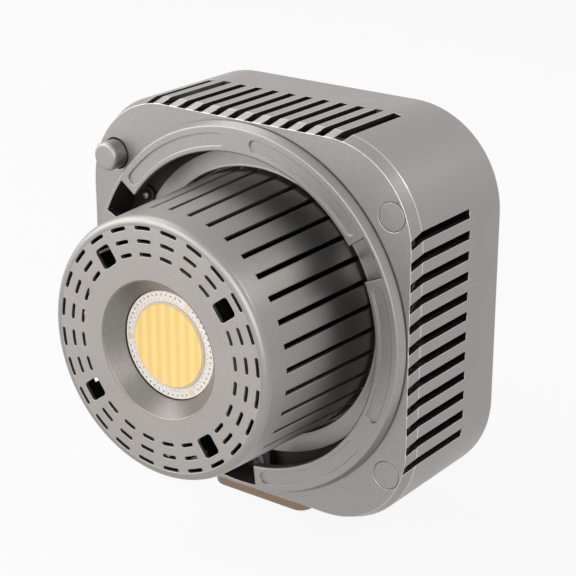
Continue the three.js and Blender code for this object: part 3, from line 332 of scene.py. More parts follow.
# %% [markdown]
# ## How the pieces are built
# The pieces are modelled in millimetres in the lamp's own frame: Y counts back from the front panel, and X
# and Z count from the lamp axis. A last transform puts them in their place in metres, so every object stays
# at the origin. Modifiers give walls their thickness and edges their radius.

# %% From a bmesh to a finished piece
to_place = Matrix.Translation((0, panel_y, axis_z)) @ Matrix.Scale(mm, 4)
weld = 0.002
sharp_angle = math.radians(35.0)


def modifier(piece, kind, **settings):
    """Adds a modifier with its settings."""
    added = piece.modifiers.new(kind.title(), kind)
    for key, value in settings.items():
        setattr(added, key, value)


def finish_piece(shape, name, look, body="head", stands_for=(), thickness=0.0, rounding=0.0,
                 closed=True, shade_lining=None, dark_rims=False, edge_highlight=None):
    """Makes a welded bmesh a named piece in its place, with its looks, body and modifiers."""
    bmesh.ops.remove_doubles(shape, verts=shape.verts, dist=weld)
    bmesh.ops.dissolve_degenerate(shape, edges=shape.edges, dist=weld / 2)
    if closed:
        bmesh.ops.recalc_face_normals(shape, faces=shape.faces)
    bmesh.ops.transform(shape, matrix=to_place, verts=shape.verts)
    for face in shape.faces:
        face.smooth = True
    mesh = bpy.data.meshes.new(name)
    shape.to_mesh(mesh)
    shape.free()
    for each in (look, shade_lining, edge_highlight):
        if each:
            mesh.materials.append(each)
    piece = add_object(name, mesh)
    # A shade lining makes the inner faces black, and dark rims make the slot walls black too: painted shade.
    if thickness:
        modifier(piece, "SOLIDIFY", thickness=thickness * mm, offset=-1.0, use_even_offset=True,
                 material_offset=1 if shade_lining else 0, material_offset_rim=1 if dark_rims else 0)
    # An edge highlight gives the rounded edges a paler paint: a painted highlight.
    if rounding:
        modifier(piece, "BEVEL", width=rounding * mm, segments=2, limit_method="ANGLE",
                 angle_limit=sharp_angle, harden_normals=True, loop_slide=False,
                 material=len(mesh.materials) - 1 if edge_highlight else -1)
    modifier(piece, "WEIGHTED_NORMAL", keep_sharp=True)
    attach(piece, body)
    if stands_for:
        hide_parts(*stands_for)
    print(name, len(mesh.polygons), "faces")
    return piece


def paint_faces(piece, index, wanted):
    """Gives a material index to the faces whose middle is wanted."""
    to_lamp = to_place.inverted()
    for face in piece.data.polygons:
        if wanted(to_lamp @ face.center):
            face.material_index = index


# %% [markdown]
# ## Drawing with a point
# Most outlines of this light are arcs about the lamp axis joined by short lines. They are drawn as with
# compasses: a vertex is carried round a centre with the spin operator, or pushed along a line, and the
# edges that it leaves behind are the outline.

# %% Compass and ruler
lamp_axis = Vector((0, -1, 0))


def only(kind, parts):
    """The parts of one kind."""
    return [part for part in parts if isinstance(part, kind)]


def everything(shape):
    """All vertices, edges and faces of a bmesh."""
    return shape.verts[:] + shape.edges[:] + shape.faces[:]


def on_circle(radius, angle, y=0.0, centre=(0.0, 0.0)):
    """A point on a circle about an axis along Y, in lamp millimetres and degrees."""
    turn = math.radians(angle)
    return Vector((centre[0] + radius * math.cos(turn), y, centre[1] + radius * math.sin(turn)))


def spin(shape, geom, angle, steps, centre=(0, 0, 0), **more):
    """Turns parts about an axis along Y by degrees and returns the last copy of them."""
    turn = math.radians(angle)
    made = bmesh.ops.spin(shape, geom=geom, cent=centre, axis=lamp_axis, angle=turn, steps=steps, **more)
    return made["geom_last"]


def swing(shape, point, centre, angle, steps):
    """Carries a point round a centre and returns where it ends; its path stays as edges."""
    return only(BMVert, spin(shape, [point], angle, steps, centre))[0]


def push(shape, point, to):
    """Draws a straight edge from a point and returns its end."""
    end = bmesh.ops.extrude_vert_indiv(shape, verts=[point])["verts"][0]
    bmesh.ops.translate(shape, verts=[end], vec=Vector(to) - end.co)
    return end


def draw_chain(shape, places, closed=False):
    """Draws straight edges from place to place and returns the vertices and the edges."""
    points = [shape.verts.new(place) for place in places]
    ends = points[1:] + points[:1] if closed else points[1:]
    return points, [shape.edges.new(pair) for pair in zip(points, ends)]


# %% Outlines of holes, slots and panels
def draw_circle(shape, radius, y=0.0, centre=(0.0, 0.0), steps=96):
    """The outline of a round hole or disc."""
    swing(shape, shape.verts.new(on_circle(radius, 0, y, centre)), (centre[0], y, centre[1]), 360, steps)


def draw_bent_slot(shape, radius, width, middle, span, y, steps, end_steps):
    """The outline of a slot bent round the lamp axis, with round ends."""
    point = shape.verts.new(on_circle(radius + width / 2, middle - span / 2, y))
    point = swing(shape, point, (0, y, 0), span, steps)
    point = swing(shape, point, on_circle(radius, middle + span / 2, y), 180, end_steps)
    point = swing(shape, point, (0, y, 0), -span, steps)
    swing(shape, point, on_circle(radius, middle - span / 2, y), 180, end_steps)


def draw_rounded(shape, half_x, half_z, corner, y=0.0, centre=(0.0, 0.0), turned_by=0.0, steps=8):
    """The outline of a rectangle with round corners, turned about the lamp axis if wanted."""
    before = len(shape.verts)
    x, z = centre
    point = shape.verts.new((x + half_x, y, z - half_z + corner))
    for sign_x, sign_z, to_x, to_z in ((1, 1, 1, 0), (-1, 1, 0, 1), (-1, -1, -1, 0), (1, -1, 0, -1)):
        corner_centre = Vector((x + sign_x * (half_x - corner), y, z + sign_z * (half_z - corner)))
        start = corner_centre + corner * Vector((to_x, 0, to_z))
        if (start - point.co).length > 0.01:
            point = push(shape, point, start)
        point = swing(shape, point, corner_centre, 90, steps)
    if turned_by:
        shape.verts.ensure_lookup_table()
        bmesh.ops.rotate(shape, verts=shape.verts[before:], cent=(0, 0, 0),
                         matrix=Matrix.Rotation(math.radians(turned_by), 3, lamp_axis))


# %% Filling and turning
def fill_flat(shape, y, towards=lamp_axis):
    """Welds the outlines drawn at a depth y and fills them; one inside another becomes a hole."""
    bmesh.ops.remove_doubles(shape, verts=shape.verts, dist=weld)
    wire = [edge for edge in shape.edges if (edge.is_wire or edge.is_boundary)
            and all(abs(vert.co.y - y) < 0.001 for vert in edge.verts)]
    made = bmesh.ops.triangle_fill(shape, use_beauty=True, use_dissolve=False, edges=wire, normal=towards)
    faces = only(BMFace, made["geom"])
    wrong = [face for face in faces if face.normal.dot(towards) < 0]
    bmesh.ops.reverse_faces(shape, faces=wrong)
    return faces


def fill_holes(shape, sides=0):
    """Closes the open ends of up to so many sides, or all of them with 0."""
    bmesh.ops.holes_fill(shape, edges=[edge for edge in shape.edges if edge.is_boundary], sides=sides)


def turn_profile(shape, profile, centre=(0.0, 0.0), steps=96, start=0.0, span=360.0):
    """Turns a profile of (radius, y) points round an axis along Y, as a lathe does."""
    points, edges = draw_chain(shape, [on_circle(radius, start, y, centre) for radius, y in profile])
    spin(shape, points + edges, span, steps, (centre[0], 0, centre[1]), use_merge=span == 360.0)


def repeat(shape, times):
    """Repeats all that a bmesh holds round the lamp axis and welds the copies."""
    spin(shape, everything(shape), 360, times, use_duplicate=True)
    bmesh.ops.remove_doubles(shape, verts=shape.verts, dist=weld)


def round_over(radius, y, size, start, end, steps=6):
    """Profile points of an arc about (radius, y), with angles counted from outwards towards the back."""
    turns = [math.radians(start + (end - start) * i / steps) for i in range(steps + 1)]
    return [(radius + size * math.cos(t), y + size * math.sin(t)) for t in turns]


def face_outwards(shape):
    """Turns the faces of an open skin so that its largest face looks away from the lamp's middle."""
    bmesh.ops.recalc_face_normals(shape, faces=shape.faces)
    largest = max(shape.faces, key=lambda face: face.calc_area())
    if largest.normal.dot(largest.calc_center_median()) < 0:
        bmesh.ops.reverse_faces(shape, faces=shape.faces)


# %% [markdown]
# ## Nose barrel
# The nose is a tapered die-cast barrel with a rounded front rim and thirty-six long slots. One slice of ten
# degrees is cut by planes beside and at the ends of its slot, the faces between them are taken out, and the
# spin operator repeats the slice round the axis.

# %% One slice of the nose, spun to the full barrel
nose_face, nose_back = -43.15, 12.6
nose_front_radius, nose_rear_radius, flange_radius = 42.6, 44.8, 48.0
nose_rim = 2.2
fold_width, fold_depth = 0.7, 2.0
slot_count, slot_width, slot_turn = 36, 1.6, 1.8
slot_front, slot_back = -34.09, 11.4
slice_span = 360.0 / slot_count

shape = bmesh.new()
rim_centre = nose_front_radius - nose_rim
profile = [(rim_centre - fold_width, nose_face + fold_depth), (rim_centre - fold_width, nose_face)]
profile += round_over(rim_centre, nose_face + nose_rim, nose_rim, -90, 0, 8)
profile += [(nose_rear_radius, nose_back), (flange_radius, nose_back)]
turn_profile(shape, profile, steps=6, start=slot_turn - slice_span / 2, span=slice_span)
side = on_circle(1.0, slot_turn + 90.0)
backwards = Vector((0, 1, 0))
for place, normal in ((side * slot_width / 2, side), (-side * slot_width / 2, side),
                      (backwards * slot_front, backwards), (backwards * slot_back, backwards)):
    bmesh.ops.bisect_plane(shape, geom=everything(shape), plane_co=place, plane_no=normal, dist=0.001)
in_slot = []
for face in shape.faces:
    middle = face.calc_center_median()
    if abs(middle.dot(side)) < slot_width / 2 and slot_front < middle.y < slot_back:
        in_slot.append(face)
bmesh.ops.delete(shape, geom=in_slot, context="FACES")
repeat(shape, slot_count)
face_outwards(shape)
# The nose's inside is black: painted shade.
finish_piece(shape, "nose_shell", titanium_paint, stands_for=["nose_barrel"], thickness=1.5,
             rounding=0.38, closed=False, shade_lining=black_nylon_and_shade)

# %% [markdown]
# ## Front cap
# The cap is a flat disc with a cone that leads down to the light source and has the darker paint of the
# controls; on the rounded edge of the cone's mouth that darker paint is painted shade, which dims the edge's
# highlight. Three rows of short curved slots let air out, and four square holes take the hooks of small
# accessories. All outlines are drawn in the front plane and filled at once, so the slots come out as holes.

# %% Cap sheet with its slots
cap_front = nose_face + 0.04
cap_radius, cap_turn = 40.6, 36.5
cone_mouth, cone_throat, throat_y = 22.2, 17.8, -37.5
mouth_radius, mouth_round = cone_mouth + 0.5, 0.8
rows = [(38.99, 7.4), (34.84, 6.9), (30.63, 6.6)]
slots_a_row, cap_slot_width = 24, 1.25
hook_x, hook_z, hook_corner, hook_radius = 3.35, 3.2, 1.2, 32.86

shape = bmesh.new()
draw_circle(shape, cap_radius, cap_front, steps=180)
draw_circle(shape, mouth_radius, cap_front, steps=96)
for row, (radius, span) in enumerate(rows):
    for k in range(slots_a_row):
        beside_hook = k % (slots_a_row // 4) == 0
        if row == 0 or not beside_hook:
            middle = cap_turn + 360 / slots_a_row * k
            draw_bent_slot(shape, radius, cap_slot_width, middle, span, cap_front, 4, 6)
for k in range(4):
    draw_rounded(shape, hook_x, hook_z, hook_corner, cap_front, (hook_radius, 0), cap_turn + 90 * k, 4)
fill_flat(shape, cap_front)
turn_profile(shape, round_over(mouth_radius, cap_front + mouth_round, mouth_round, -90, -140, 4)
             + [(cone_throat + 0.35, throat_y - 0.5), (cone_throat, throat_y)])
bmesh.ops.remove_doubles(shape, verts=shape.verts, dist=5 * weld)
face_outwards(shape)
# The cap's back is black: painted shade.
cap = finish_piece(shape, "nose_cap", face_paint, stands_for=["front_cap"], thickness=1.3,
                   rounding=0.18, closed=False, shade_lining=black_nylon_and_shade)
cap.data.materials.append(control_paint)
# The cone and the rounded edge of its mouth take the darker paint; on the rounded edge it is painted shade
# over the edge's highlight.
paint_faces(cap, 2, lambda middle: middle.xz.length < mouth_radius - 0.05)

# %% [markdown]
# ## Light source
# The light source is a white ceramic disc under a round field of silicone with phosphor, which is yellow in
# stripes where the rows of diodes lie. The field stands a little proud and is held by a low dam of white
# silicone. Fine solder dots run round it in two rows, with three gold pads.

# %% Board, silicone field and dam
board_front, board_back, board_radius, board_edge = -37.2, -35.8, 17.6, 0.15
gel_front, gel_flat, gel_radius = -37.8, 12.9, 13.55
dam_middle, dam_radius, dam_sink = 13.75, 0.45, 0.1

shape = bmesh.new()
turn_profile(shape, [(0, board_front), (board_radius - board_edge, board_front),
                     (board_radius, board_front + board_edge), (board_radius, board_back), (0, board_back)])
finish_piece(shape, "light_source_board", white_ceramic, stands_for=["led_board"])

shape = bmesh.new()
gel_rim = round_over(13.1, board_front - 0.3, 0.5, -75, 20, 5)
turn_profile(shape, [(0, gel_front), (gel_flat, gel_front)] + gel_rim
             + [(gel_radius, board_front), (0, board_front)])
finish_piece(shape, "phosphor_field", phosphor_gel, stands_for=["led_phosphor"])

shape = bmesh.new()
dam_foot = [(dam_middle + side * dam_radius, board_front + dam_sink) for side in (1, -1)]
dam_top = round_over(dam_middle, board_front - 0.05, dam_radius, -180, 0, 10)
turn_profile(shape, dam_foot[1:] + dam_top + dam_foot)
finish_piece(shape, "silicone_dam", white_silicone)

# %% Solder dots and gold pads
pad_angles = [62.0, 182.0, 302.0]
pad_radius, pad_clear = 15.7, 6
pad_size = (2.1, 0.1, 1.9, 1)
dot_count, dot_front = 54, board_front - 0.03
upright = Matrix.Rotation(math.radians(90), 4, "X")
for name, radius, size, offset in (("solder_dots", 16.35, 0.3, 0.0), ("fine_dots", 14.95, 0.17, 3.3)):
    shape = bmesh.new()
    for k in range(dot_count):
        angle = offset + 360.0 * k / dot_count
        place = Matrix.Translation(on_circle(radius, angle, dot_front)) @ upright
        if min(abs((angle - pad + 180) % 360 - 180) for pad in pad_angles) >= pad_clear:
            bmesh.ops.create_circle(shape, cap_ends=True, segments=8, radius=size, matrix=place)
    finish_piece(shape, name, solder_brown, closed=False)

shape = bmesh.new()
for angle in pad_angles:
    place = Matrix.Translation((pad_radius, dot_front, 0)) @ Matrix.Diagonal(pad_size)
    turn = Matrix.Rotation(math.radians(angle), 4, lamp_axis)
    bmesh.ops.create_cube(shape, size=1.0, matrix=turn @ place)
finish_piece(shape, "solder_pads", pale_gold, rounding=0.03)

# %% [markdown]
# ## Accessory ring
# Accessories hang on a raised ring with a lip that their lugs turn behind, and three notches let the lugs
# in. The ring is spun in six parts, three with the lip and three without it. A face closes the lip at each
# side of a notch, and the flat front is filled with the outlines of six shallow recesses drawn in it.

# %% Ring body and notches
lip_front, lip_back = -3.34, -0.34
lip_radius, channel_radius, wall_radius, ring_radius = 53.35, 60.3, 61.4, 62.8
channel_floor = 10.0
ring_edge, ring_step = 0.5, 0.4
flat_out, flat_in = ring_radius - 1.6, lip_radius + 0.35
notches = [30.0, 150.0, 270.0]
notch_half = 6.4
lip_span = 120.0 - 2 * notch_half
lip_steps, notch_steps = 54, 6

shape = bmesh.new()
section = round_over(flat_out, lip_front + ring_edge, ring_edge, -90, -25, 5)
section += [(ring_radius - 0.08, -0.9), (ring_radius, -ring_step), (ring_radius - ring_step, -ring_step),
            (ring_radius - ring_step, 0.0), (wall_radius, 0.0), (wall_radius, channel_floor),
            (channel_radius, channel_floor), (channel_radius, lip_back)]
lip_section = [(lip_radius, lip_back), (lip_radius, lip_front + 0.35), (flat_in, lip_front)]
for notch in notches:
    turn_profile(shape, section + lip_section, steps=lip_steps, start=notch + notch_half, span=lip_span)
    turn_profile(shape, section + [(channel_radius, lip_front)], steps=notch_steps, start=notch - notch_half,
                 span=2 * notch_half)
    for angle in (notch - notch_half, notch + notch_half):
        wall = [(channel_radius, lip_front), (channel_radius, lip_back)] + lip_section
        shape.faces.new([shape.verts.new(on_circle(radius, angle, y)) for radius, y in wall])
print("ring without its front:", len(shape.faces), "faces")


# %% Front of the ring with its six recesses
def pull_edges(shape, edges, grow, back):
    """Extrudes an outline, scales it about the lamp axis and moves it back; returns the new outline."""
    made = bmesh.ops.extrude_edge_only(shape, edges=edges)["geom"]
    verts = only(BMVert, made)
    bmesh.ops.scale(shape, vec=(grow, 1, grow), verts=verts)
    bmesh.ops.translate(shape, verts=verts, vec=(0, back, 0))
    return [edge for edge in only(BMEdge, made) if all(vert in verts for vert in edge.verts)]


pill_radius, pill_width, pill_span, pill_turn, pill_depth = 57.1, 4.2, 42.0, 28.2, 0.65
longest_step = 3.0
for notch in notches:
    for swing_by in (-pill_turn, pill_turn):
        draw_bent_slot(shape, pill_radius, pill_width, notch + 180 + swing_by, pill_span, lip_front, 20, 10)
fill_flat(shape, lip_front)
recess_edges = []
for edge in shape.edges:
    middle = (edge.verts[0].co + edge.verts[1].co) / 2
    near = abs(middle.xz.length - pill_radius) < pill_width / 2 + 0.1
    if edge.is_boundary and edge.calc_length() < longest_step and near:
        recess_edges.append(edge)
pull_edges(shape, recess_edges, 1.0, pill_depth)
fill_flat(shape, lip_front + pill_depth)
print("open edges left:", sum(edge.is_boundary for edge in shape.edges))
# The ring's rounded edges take a paler paint, as a painted highlight.
ring = finish_piece(shape, "accessory_ring", ring_paint, stands_for=["mount_ring"],
                    rounding=0.14, shade_lining=black_nylon_and_shade, edge_highlight=ring_highlight_paint)
# The ring's walls behind its front, with the channel, are black: painted shade.
paint_faces(ring, 1, lambda middle: middle.y > lip_front + pill_depth + 0.1
            and middle.xz.length < channel_radius + 0.1)

# %% [markdown]
# ## Dish around the nose
# Between the ring and the nose lies a shallow dish of painted sheet, with a round bite at each notch, where
# the lugs and the lock pin need room. The sheet is filled inside its outline, and the edge of its hole is
# rolled in towards the nose and to the back, step by step.

# %% Dish with three bites
dish_out, dish_in, dish_y = 52.0, 46.7, 8.0
bite_circle, bite_radius = 55.61, 4.6
rolled_edge = ((46.4, -0.1), (46.1, -0.04), (45.8, 0.12), (45.64, 0.35), (45.6, 1.8))
outer_fold = 2.0
reach = (bite_circle ** 2 + dish_out ** 2 - bite_radius ** 2) / (2 * bite_circle * dish_out)
bite_half = math.degrees(math.acos(reach))
bite_turn = 2 * math.degrees(math.asin(dish_out * math.sin(math.radians(bite_half)) / bite_radius))

shape = bmesh.new()
for notch in notches:
    point = shape.verts.new(on_circle(dish_out, notch + bite_half, dish_y))
    point = swing(shape, point, (0, dish_y, 0), 120 - 2 * bite_half, 60)
    swing(shape, point, on_circle(bite_circle, notch + 120, dish_y), -bite_turn, 10)
draw_circle(shape, dish_in, dish_y, steps=180)
fill_flat(shape, dish_y)
rim = [edge for edge in shape.edges if edge.is_boundary
       and all(abs(vert.co.xz.length - dish_in) < 0.05 for vert in edge.verts)]
outline = [edge for edge in shape.edges if edge.is_boundary and edge not in rim]
rim_radius = dish_in
for radius, back in rolled_edge:
    rim = pull_edges(shape, rim, radius / rim_radius, back)
    rim_radius = radius
pull_edges(shape, outline, 1.0, outer_fold)
bmesh.ops.recalc_face_normals(shape, faces=shape.faces)
widest = max(shape.faces, key=lambda face: face.calc_area())
if widest.normal.y > 0:
    bmesh.ops.reverse_faces(shape, faces=shape.faces)
finish_piece(shape, "dish", ring_paint, stands_for=["inner_shroud"], thickness=0.8,
             rounding=0.25, closed=False)

# %% [markdown]
# ## Square housing
# The housing is one casting: a front panel, a bevel, and four walls with cooling slots. All corners turn
# about the same four axes, so a section of the wall is pushed along one side and spun round one corner, and
# that quarter is repeated. A narrow strip where the bevel meets the wall is painted pale, as a painted
# highlight.

# %% Skin of the housing
panel_half, body_half, bevel_depth, body_depth = 63.4, 65.0, 4.2, 50.3
corner, corner_steps, back_edge = 32.5, 20, 1.4
strip_rise, strip_width = 0.1, 0.4
vent_back = 31.19
corner_place = body_half - corner

shape = bmesh.new()
section = [(panel_half, 0.0), (body_half - strip_rise, bevel_depth - strip_width), (body_half, bevel_depth),
           (body_half, vent_back)]
section += round_over(body_half - back_edge, body_depth - back_edge, back_edge, 0, 90, 5)
points, edges = draw_chain(shape, [(x, y, -corner_place) for x, y in section])
made = bmesh.ops.extrude_edge_only(shape, edges=edges)["geom"]
moved = only(BMVert, made)
bmesh.ops.translate(shape, verts=moved, vec=(0, 0, 2 * corner_place))
leading = moved + [edge for edge in only(BMEdge, made) if all(vert in moved for vert in edge.verts)]
spin(shape, leading, 90, corner_steps, (corner_place, 0, corner_place))
repeat(shape, 4)
print("skin before the slots:", len(shape.faces), "faces")

# %% Front panel with the holes for ring, screw caps and button
cap_places = [(56.16, 42.705), (56.16, -42.705), (-56.16, -42.705)]
button_place = (-53.495, 43.485)
ring_opening, cap_pocket_radius, button_opening = 61.7, 4.74, 5.4
draw_circle(shape, ring_opening, steps=180)
for place in cap_places:
    draw_circle(shape, cap_pocket_radius, centre=place, steps=64)
draw_circle(shape, button_opening, centre=button_place, steps=48)
print("front panel:", len(fill_flat(shape, 0.0)), "faces")

# %% [markdown]
# ## Cooling slots
# The slots are cut with planes across one wall at a time, which also works where they run into the round
# corners. On the bevel they lean by their tip. The walls go from the right one over the top to the left and
# the bottom one, whose middle stays whole for the foot.

# %% Cooling slots, cut wall by wall
vent_count, vent_pitch = 12, 6.78
vent_tips = [-2.4, 1.2, 2.4, -1.2]
vent_widths = [2.9, 3.3, 2.9, 3.3]
foot_free = [0.0, 0.0, 0.0, 22.0]
wall_near, wall_reach, off_panel = 40, 46, 0.01


def cut_slots(shape, side, tip, width, skip):
    """Cuts the slots of one wall; each next side is a quarter turn on from the right one."""
    turn = Matrix.Rotation(math.radians(90 * side), 3, lamp_axis)
    outwards, along = turn @ Vector((1, 0, 0)), turn @ Vector((0, 0, 1))
    slots = [(k - (vent_count - 1) / 2) * vent_pitch for k in range(vent_count)]
    slots = [u for u in slots if abs(u) > skip]

    def part_of_wall(on_bevel):
        """The wall's faces, on the bevel or behind it, with their edges and vertices."""
        faces = []
        for face in shape.faces:
            middle = face.calc_center_median()
            on_wall = middle.dot(outwards) > wall_near and abs(middle.dot(along)) < wall_reach
            if on_wall and (middle.y < bevel_depth) == on_bevel and off_panel < middle.y < vent_back:
                faces.append(face)
        edges = {edge for face in faces for edge in face.edges}
        verts = {vert for face in faces for vert in face.verts}
        return list(verts) + list(edges) + faces

    slanted = outwards.cross(Vector((0, -bevel_depth, 0)) + along * tip)
    for u in slots:
        for edge_side in (-1, 1):
            line = along * (u + edge_side * width / 2) + Vector((0, bevel_depth, 0))
            for on_bevel, normal in ((False, along), (True, slanted)):
                bmesh.ops.bisect_plane(shape, geom=part_of_wall(on_bevel), plane_co=line, plane_no=normal,
                                       dist=0.0005)
    gone = []
    for face in shape.faces:
        middle = face.calc_center_median()
        if middle.dot(outwards) >= wall_near and off_panel < middle.y < vent_back:
            shift = tip * max(0.0, (bevel_depth - middle.y) / bevel_depth)
            if any(abs(middle.dot(along) - shift - u) < width / 2 for u in slots):
                gone.append(face)
    bmesh.ops.delete(shape, geom=gone, context="FACES")
    return len(slots)


for side, sizes in enumerate(zip(vent_tips, vent_widths, foot_free)):
    print("slots of wall", side, "-", cut_slots(shape, side, *sizes))
face_outwards(shape)
# Inside and in the slots the walls are black: painted shade.
housing = finish_piece(shape, "housing_shell", titanium_paint, stands_for=["main_housing"],
                       thickness=2.4, closed=False, shade_lining=black_nylon_and_shade, dark_rims=True)

# %% [markdown]
# ## Rounded housing edges with a painted highlight
# The paint's sharp edges are rounded and painted pale too, as a painted highlight. A bevel modifier would
# shrink all of them to what the tightest place allows, so the walls are baked first, and a bevel operator
# leaves out the edges that meet a very short one. The back of the strip takes the look after the strip's
# own, which is the black nylon, as painted shade.

# %% Strip and edges, painted pale as a highlight
highlight_index = 2
highlight_width = 0.14
shortest_side = 2.6 * highlight_width


def round_and_highlight_edges(piece):
    """Bakes the walls, rounds the sharp edges of the paint alone and gives them the pale paint of a painted
    highlight.
    """
    piece.modifiers.remove(piece.modifiers[-1])
    seen = piece.evaluated_get(bpy.context.evaluated_depsgraph_get())
    shape = bmesh.new()
    shape.from_mesh(seen.to_mesh())
    seen.to_mesh_clear()
    shortest = {vert: min(edge.calc_length() for edge in vert.link_edges) for vert in shape.verts}
    edges = [edge for edge in shape.edges if edge.is_manifold and edge.calc_face_angle() > sharp_angle
             and any(face.material_index in (0, highlight_index) for face in edge.link_faces)
             and min(shortest[vert] for vert in edge.verts) > shortest_side * mm]
    bmesh.ops.bevel(shape, geom=edges, offset=highlight_width * mm, segments=2, profile=0.5, affect="EDGES",
                    clamp_overlap=False, material=highlight_index)
    for face in shape.faces:
        face.smooth = True
    piece.modifiers.clear()
    shape.to_mesh(piece.data)
    shape.free()
    modifier(piece, "WEIGHTED_NORMAL", keep_sharp=True)
    print("worn edges:", len(edges))


# The pale paint is a painted highlight on the strip and the rounded edges; the black behind the strip is
# painted shade.
housing.data.materials.append(edge_highlight_paint)
housing.data.materials.append(black_nylon_and_shade)
paint_faces(housing, highlight_index, lambda middle: bevel_depth - strip_width < middle.y < bevel_depth)
round_and_highlight_edges(housing)

# %% [markdown]
# ## Turned pieces
# Button, lock pin and screw caps are lathe work. Each has a profile with rounded edges, drawn from the
# middle of its front outwards and back to the axis.

# %% Button, pin and screw caps
def turned_piece(name, profile, centre, look, body="head", stands_for=(), steps=64):
    """A lathe piece about an axis along Y through a centre on the panel."""
    shape = bmesh.new()
    turn_profile(shape, profile, centre, steps)
    return finish_piece(shape, name, look, body, stands_for)


def round_front(radius, front, size, steps):
    """Profile points from the axis out over a flat front and its rounded edge."""
    return [(0, front)] + round_over(radius - size, front + size, size, -90, 0, steps)


button_front, button_radius, button_round = -5.7, 4.9, 1.3
collar_front, collar_back, collar_radius, stem_radius, stem_back = 3.3, 4.4, 6.0, 2.2, 12.4
turned_piece("button_cap", round_front(button_radius, button_front, button_round, 8)
             + [(button_radius, collar_front), (collar_radius, collar_front), (collar_radius, collar_back),
                (stem_radius, collar_back), (stem_radius, stem_back), (0, stem_back)],
             button_place, ring_paint, "release_body", ["release_button"])

pin_place, pin_front, pin_radius, pin_round = (-48.16, 27.8), 7.4, 1.5, 0.95
turned_piece("pin_with_round_tip", round_front(pin_radius, pin_front, pin_round, 6)
             + [(pin_radius, stem_back), (0, stem_back)],
             pin_place, zinc_steel, "release_body", ["lock_pin"], steps=32)

cover_radius, cover_round, cover_depth = 4.6, 0.2, 1.4
for k, place in enumerate(cap_places):
    profile = round_front(cover_radius, 0.0, cover_round, 3)
    profile += [(cover_radius, cover_depth), (0, cover_depth)]
    turned_piece("screw_cover_" + str(k + 1), profile, place, titanium_paint,
                 stands_for=["screw_cap_" + str(k + 1)])

# %% [markdown]
# ## Return spring
# A coil of spring steel behind the lever pushes the button out. It is one wire section swept along a helix.

# %% Spring behind the button
spring_radius, wire_radius, spring_turns = 3.1, 0.35, 4.5
spring_start, spring_length, spring_steps = 14.95, 7.0, 108
shape = bmesh.new()
bmesh.ops.create_circle(shape, segments=10, radius=wire_radius,
                        matrix=Matrix.Translation((spring_radius, spring_start, 0)))
spin(shape, everything(shape), 360 * spring_turns, spring_steps, dvec=(0, spring_length / spring_steps, 0))
fill_holes(shape, 10)
bmesh.ops.translate(shape, verts=shape.verts, vec=(button_place[0], 0, button_place[1]))
spring = finish_piece(shape, "return_spring", zinc_steel, stands_for=["release_spring"])
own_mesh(spring)

# %% [markdown]
# ## Foot
# The foot is a bronze-anodised slab with full round edges on a narrower neck. It carries a brass insert
# with a thread, between two screws.

# %% Foot slab with its holes
foot_front, foot_back, foot_low, foot_high = 6.036, 45.27, -71.0, -66.0
foot_middle, foot_length = (foot_front + foot_back) / 2, foot_back - foot_front
foot_width, foot_corner, foot_edge = 40.0, 5.0, 1.6
neck_width, neck_inset, neck_height = 32.0, 8.0, 0.98
foot_holes = ((0.0, 7.3), (-14.0, 3.0), (14.0, 3.0))
hole_depth = 3.0

shape = bmesh.new()
place = Matrix.Translation((0, foot_middle, (foot_low + foot_high) / 2))
size = Matrix.Diagonal((foot_width, foot_length, foot_high - foot_low, 1.0))
bmesh.ops.create_cube(shape, size=1.0, matrix=place @ size)
corners = [edge for edge in shape.edges if abs((edge.verts[0].co - edge.verts[1].co).z) > 1]
round_edges = {"profile": 0.5, "affect": "EDGES", "material": -1}
bmesh.ops.bevel(shape, geom=corners, offset=foot_corner, segments=8, **round_edges)
level = [edge for edge in shape.edges if sum(abs(face.normal.z) > 0.9 for face in edge.link_faces) == 1]
bmesh.ops.bevel(shape, geom=level, offset=foot_edge, segments=6, **round_edges)
underside = [face for face in shape.faces if face.normal.z < -0.999]
bmesh.ops.delete(shape, geom=underside, context="FACES_ONLY")
for x, radius in foot_holes:
    place = Matrix.Translation((x, foot_middle, foot_low))
    bmesh.ops.create_circle(shape, segments=48, radius=radius, matrix=place)
low_edges = [edge for edge in shape.edges if (edge.is_wire or edge.is_boundary)
             and all(abs(vert.co.z - foot_low) < 0.01 for vert in edge.verts)]
holes = [edge for edge in low_edges if edge.is_wire]
bmesh.ops.triangle_fill(shape, use_beauty=True, edges=low_edges, normal=(0, 0, -1))
made = bmesh.ops.extrude_edge_only(shape, edges=holes)["geom"]
bmesh.ops.translate(shape, verts=only(BMVert, made), vec=(0, 0, hole_depth))
fill_holes(shape)
place = Matrix.Translation((0, foot_middle, foot_high + 0.5))
size = Matrix.Diagonal((neck_width, foot_length - neck_inset, neck_height, 1.0))
bmesh.ops.create_cube(shape, size=1.0, matrix=place @ size)
finish_piece(shape, "foot_slab", bronze_anodised, stands_for=["foot_plate"])

# %% [markdown]
# ## Threaded insert
# The thread is one tooth swept along a helix: the spin operator can also shift what it turns by a little at
# each step.

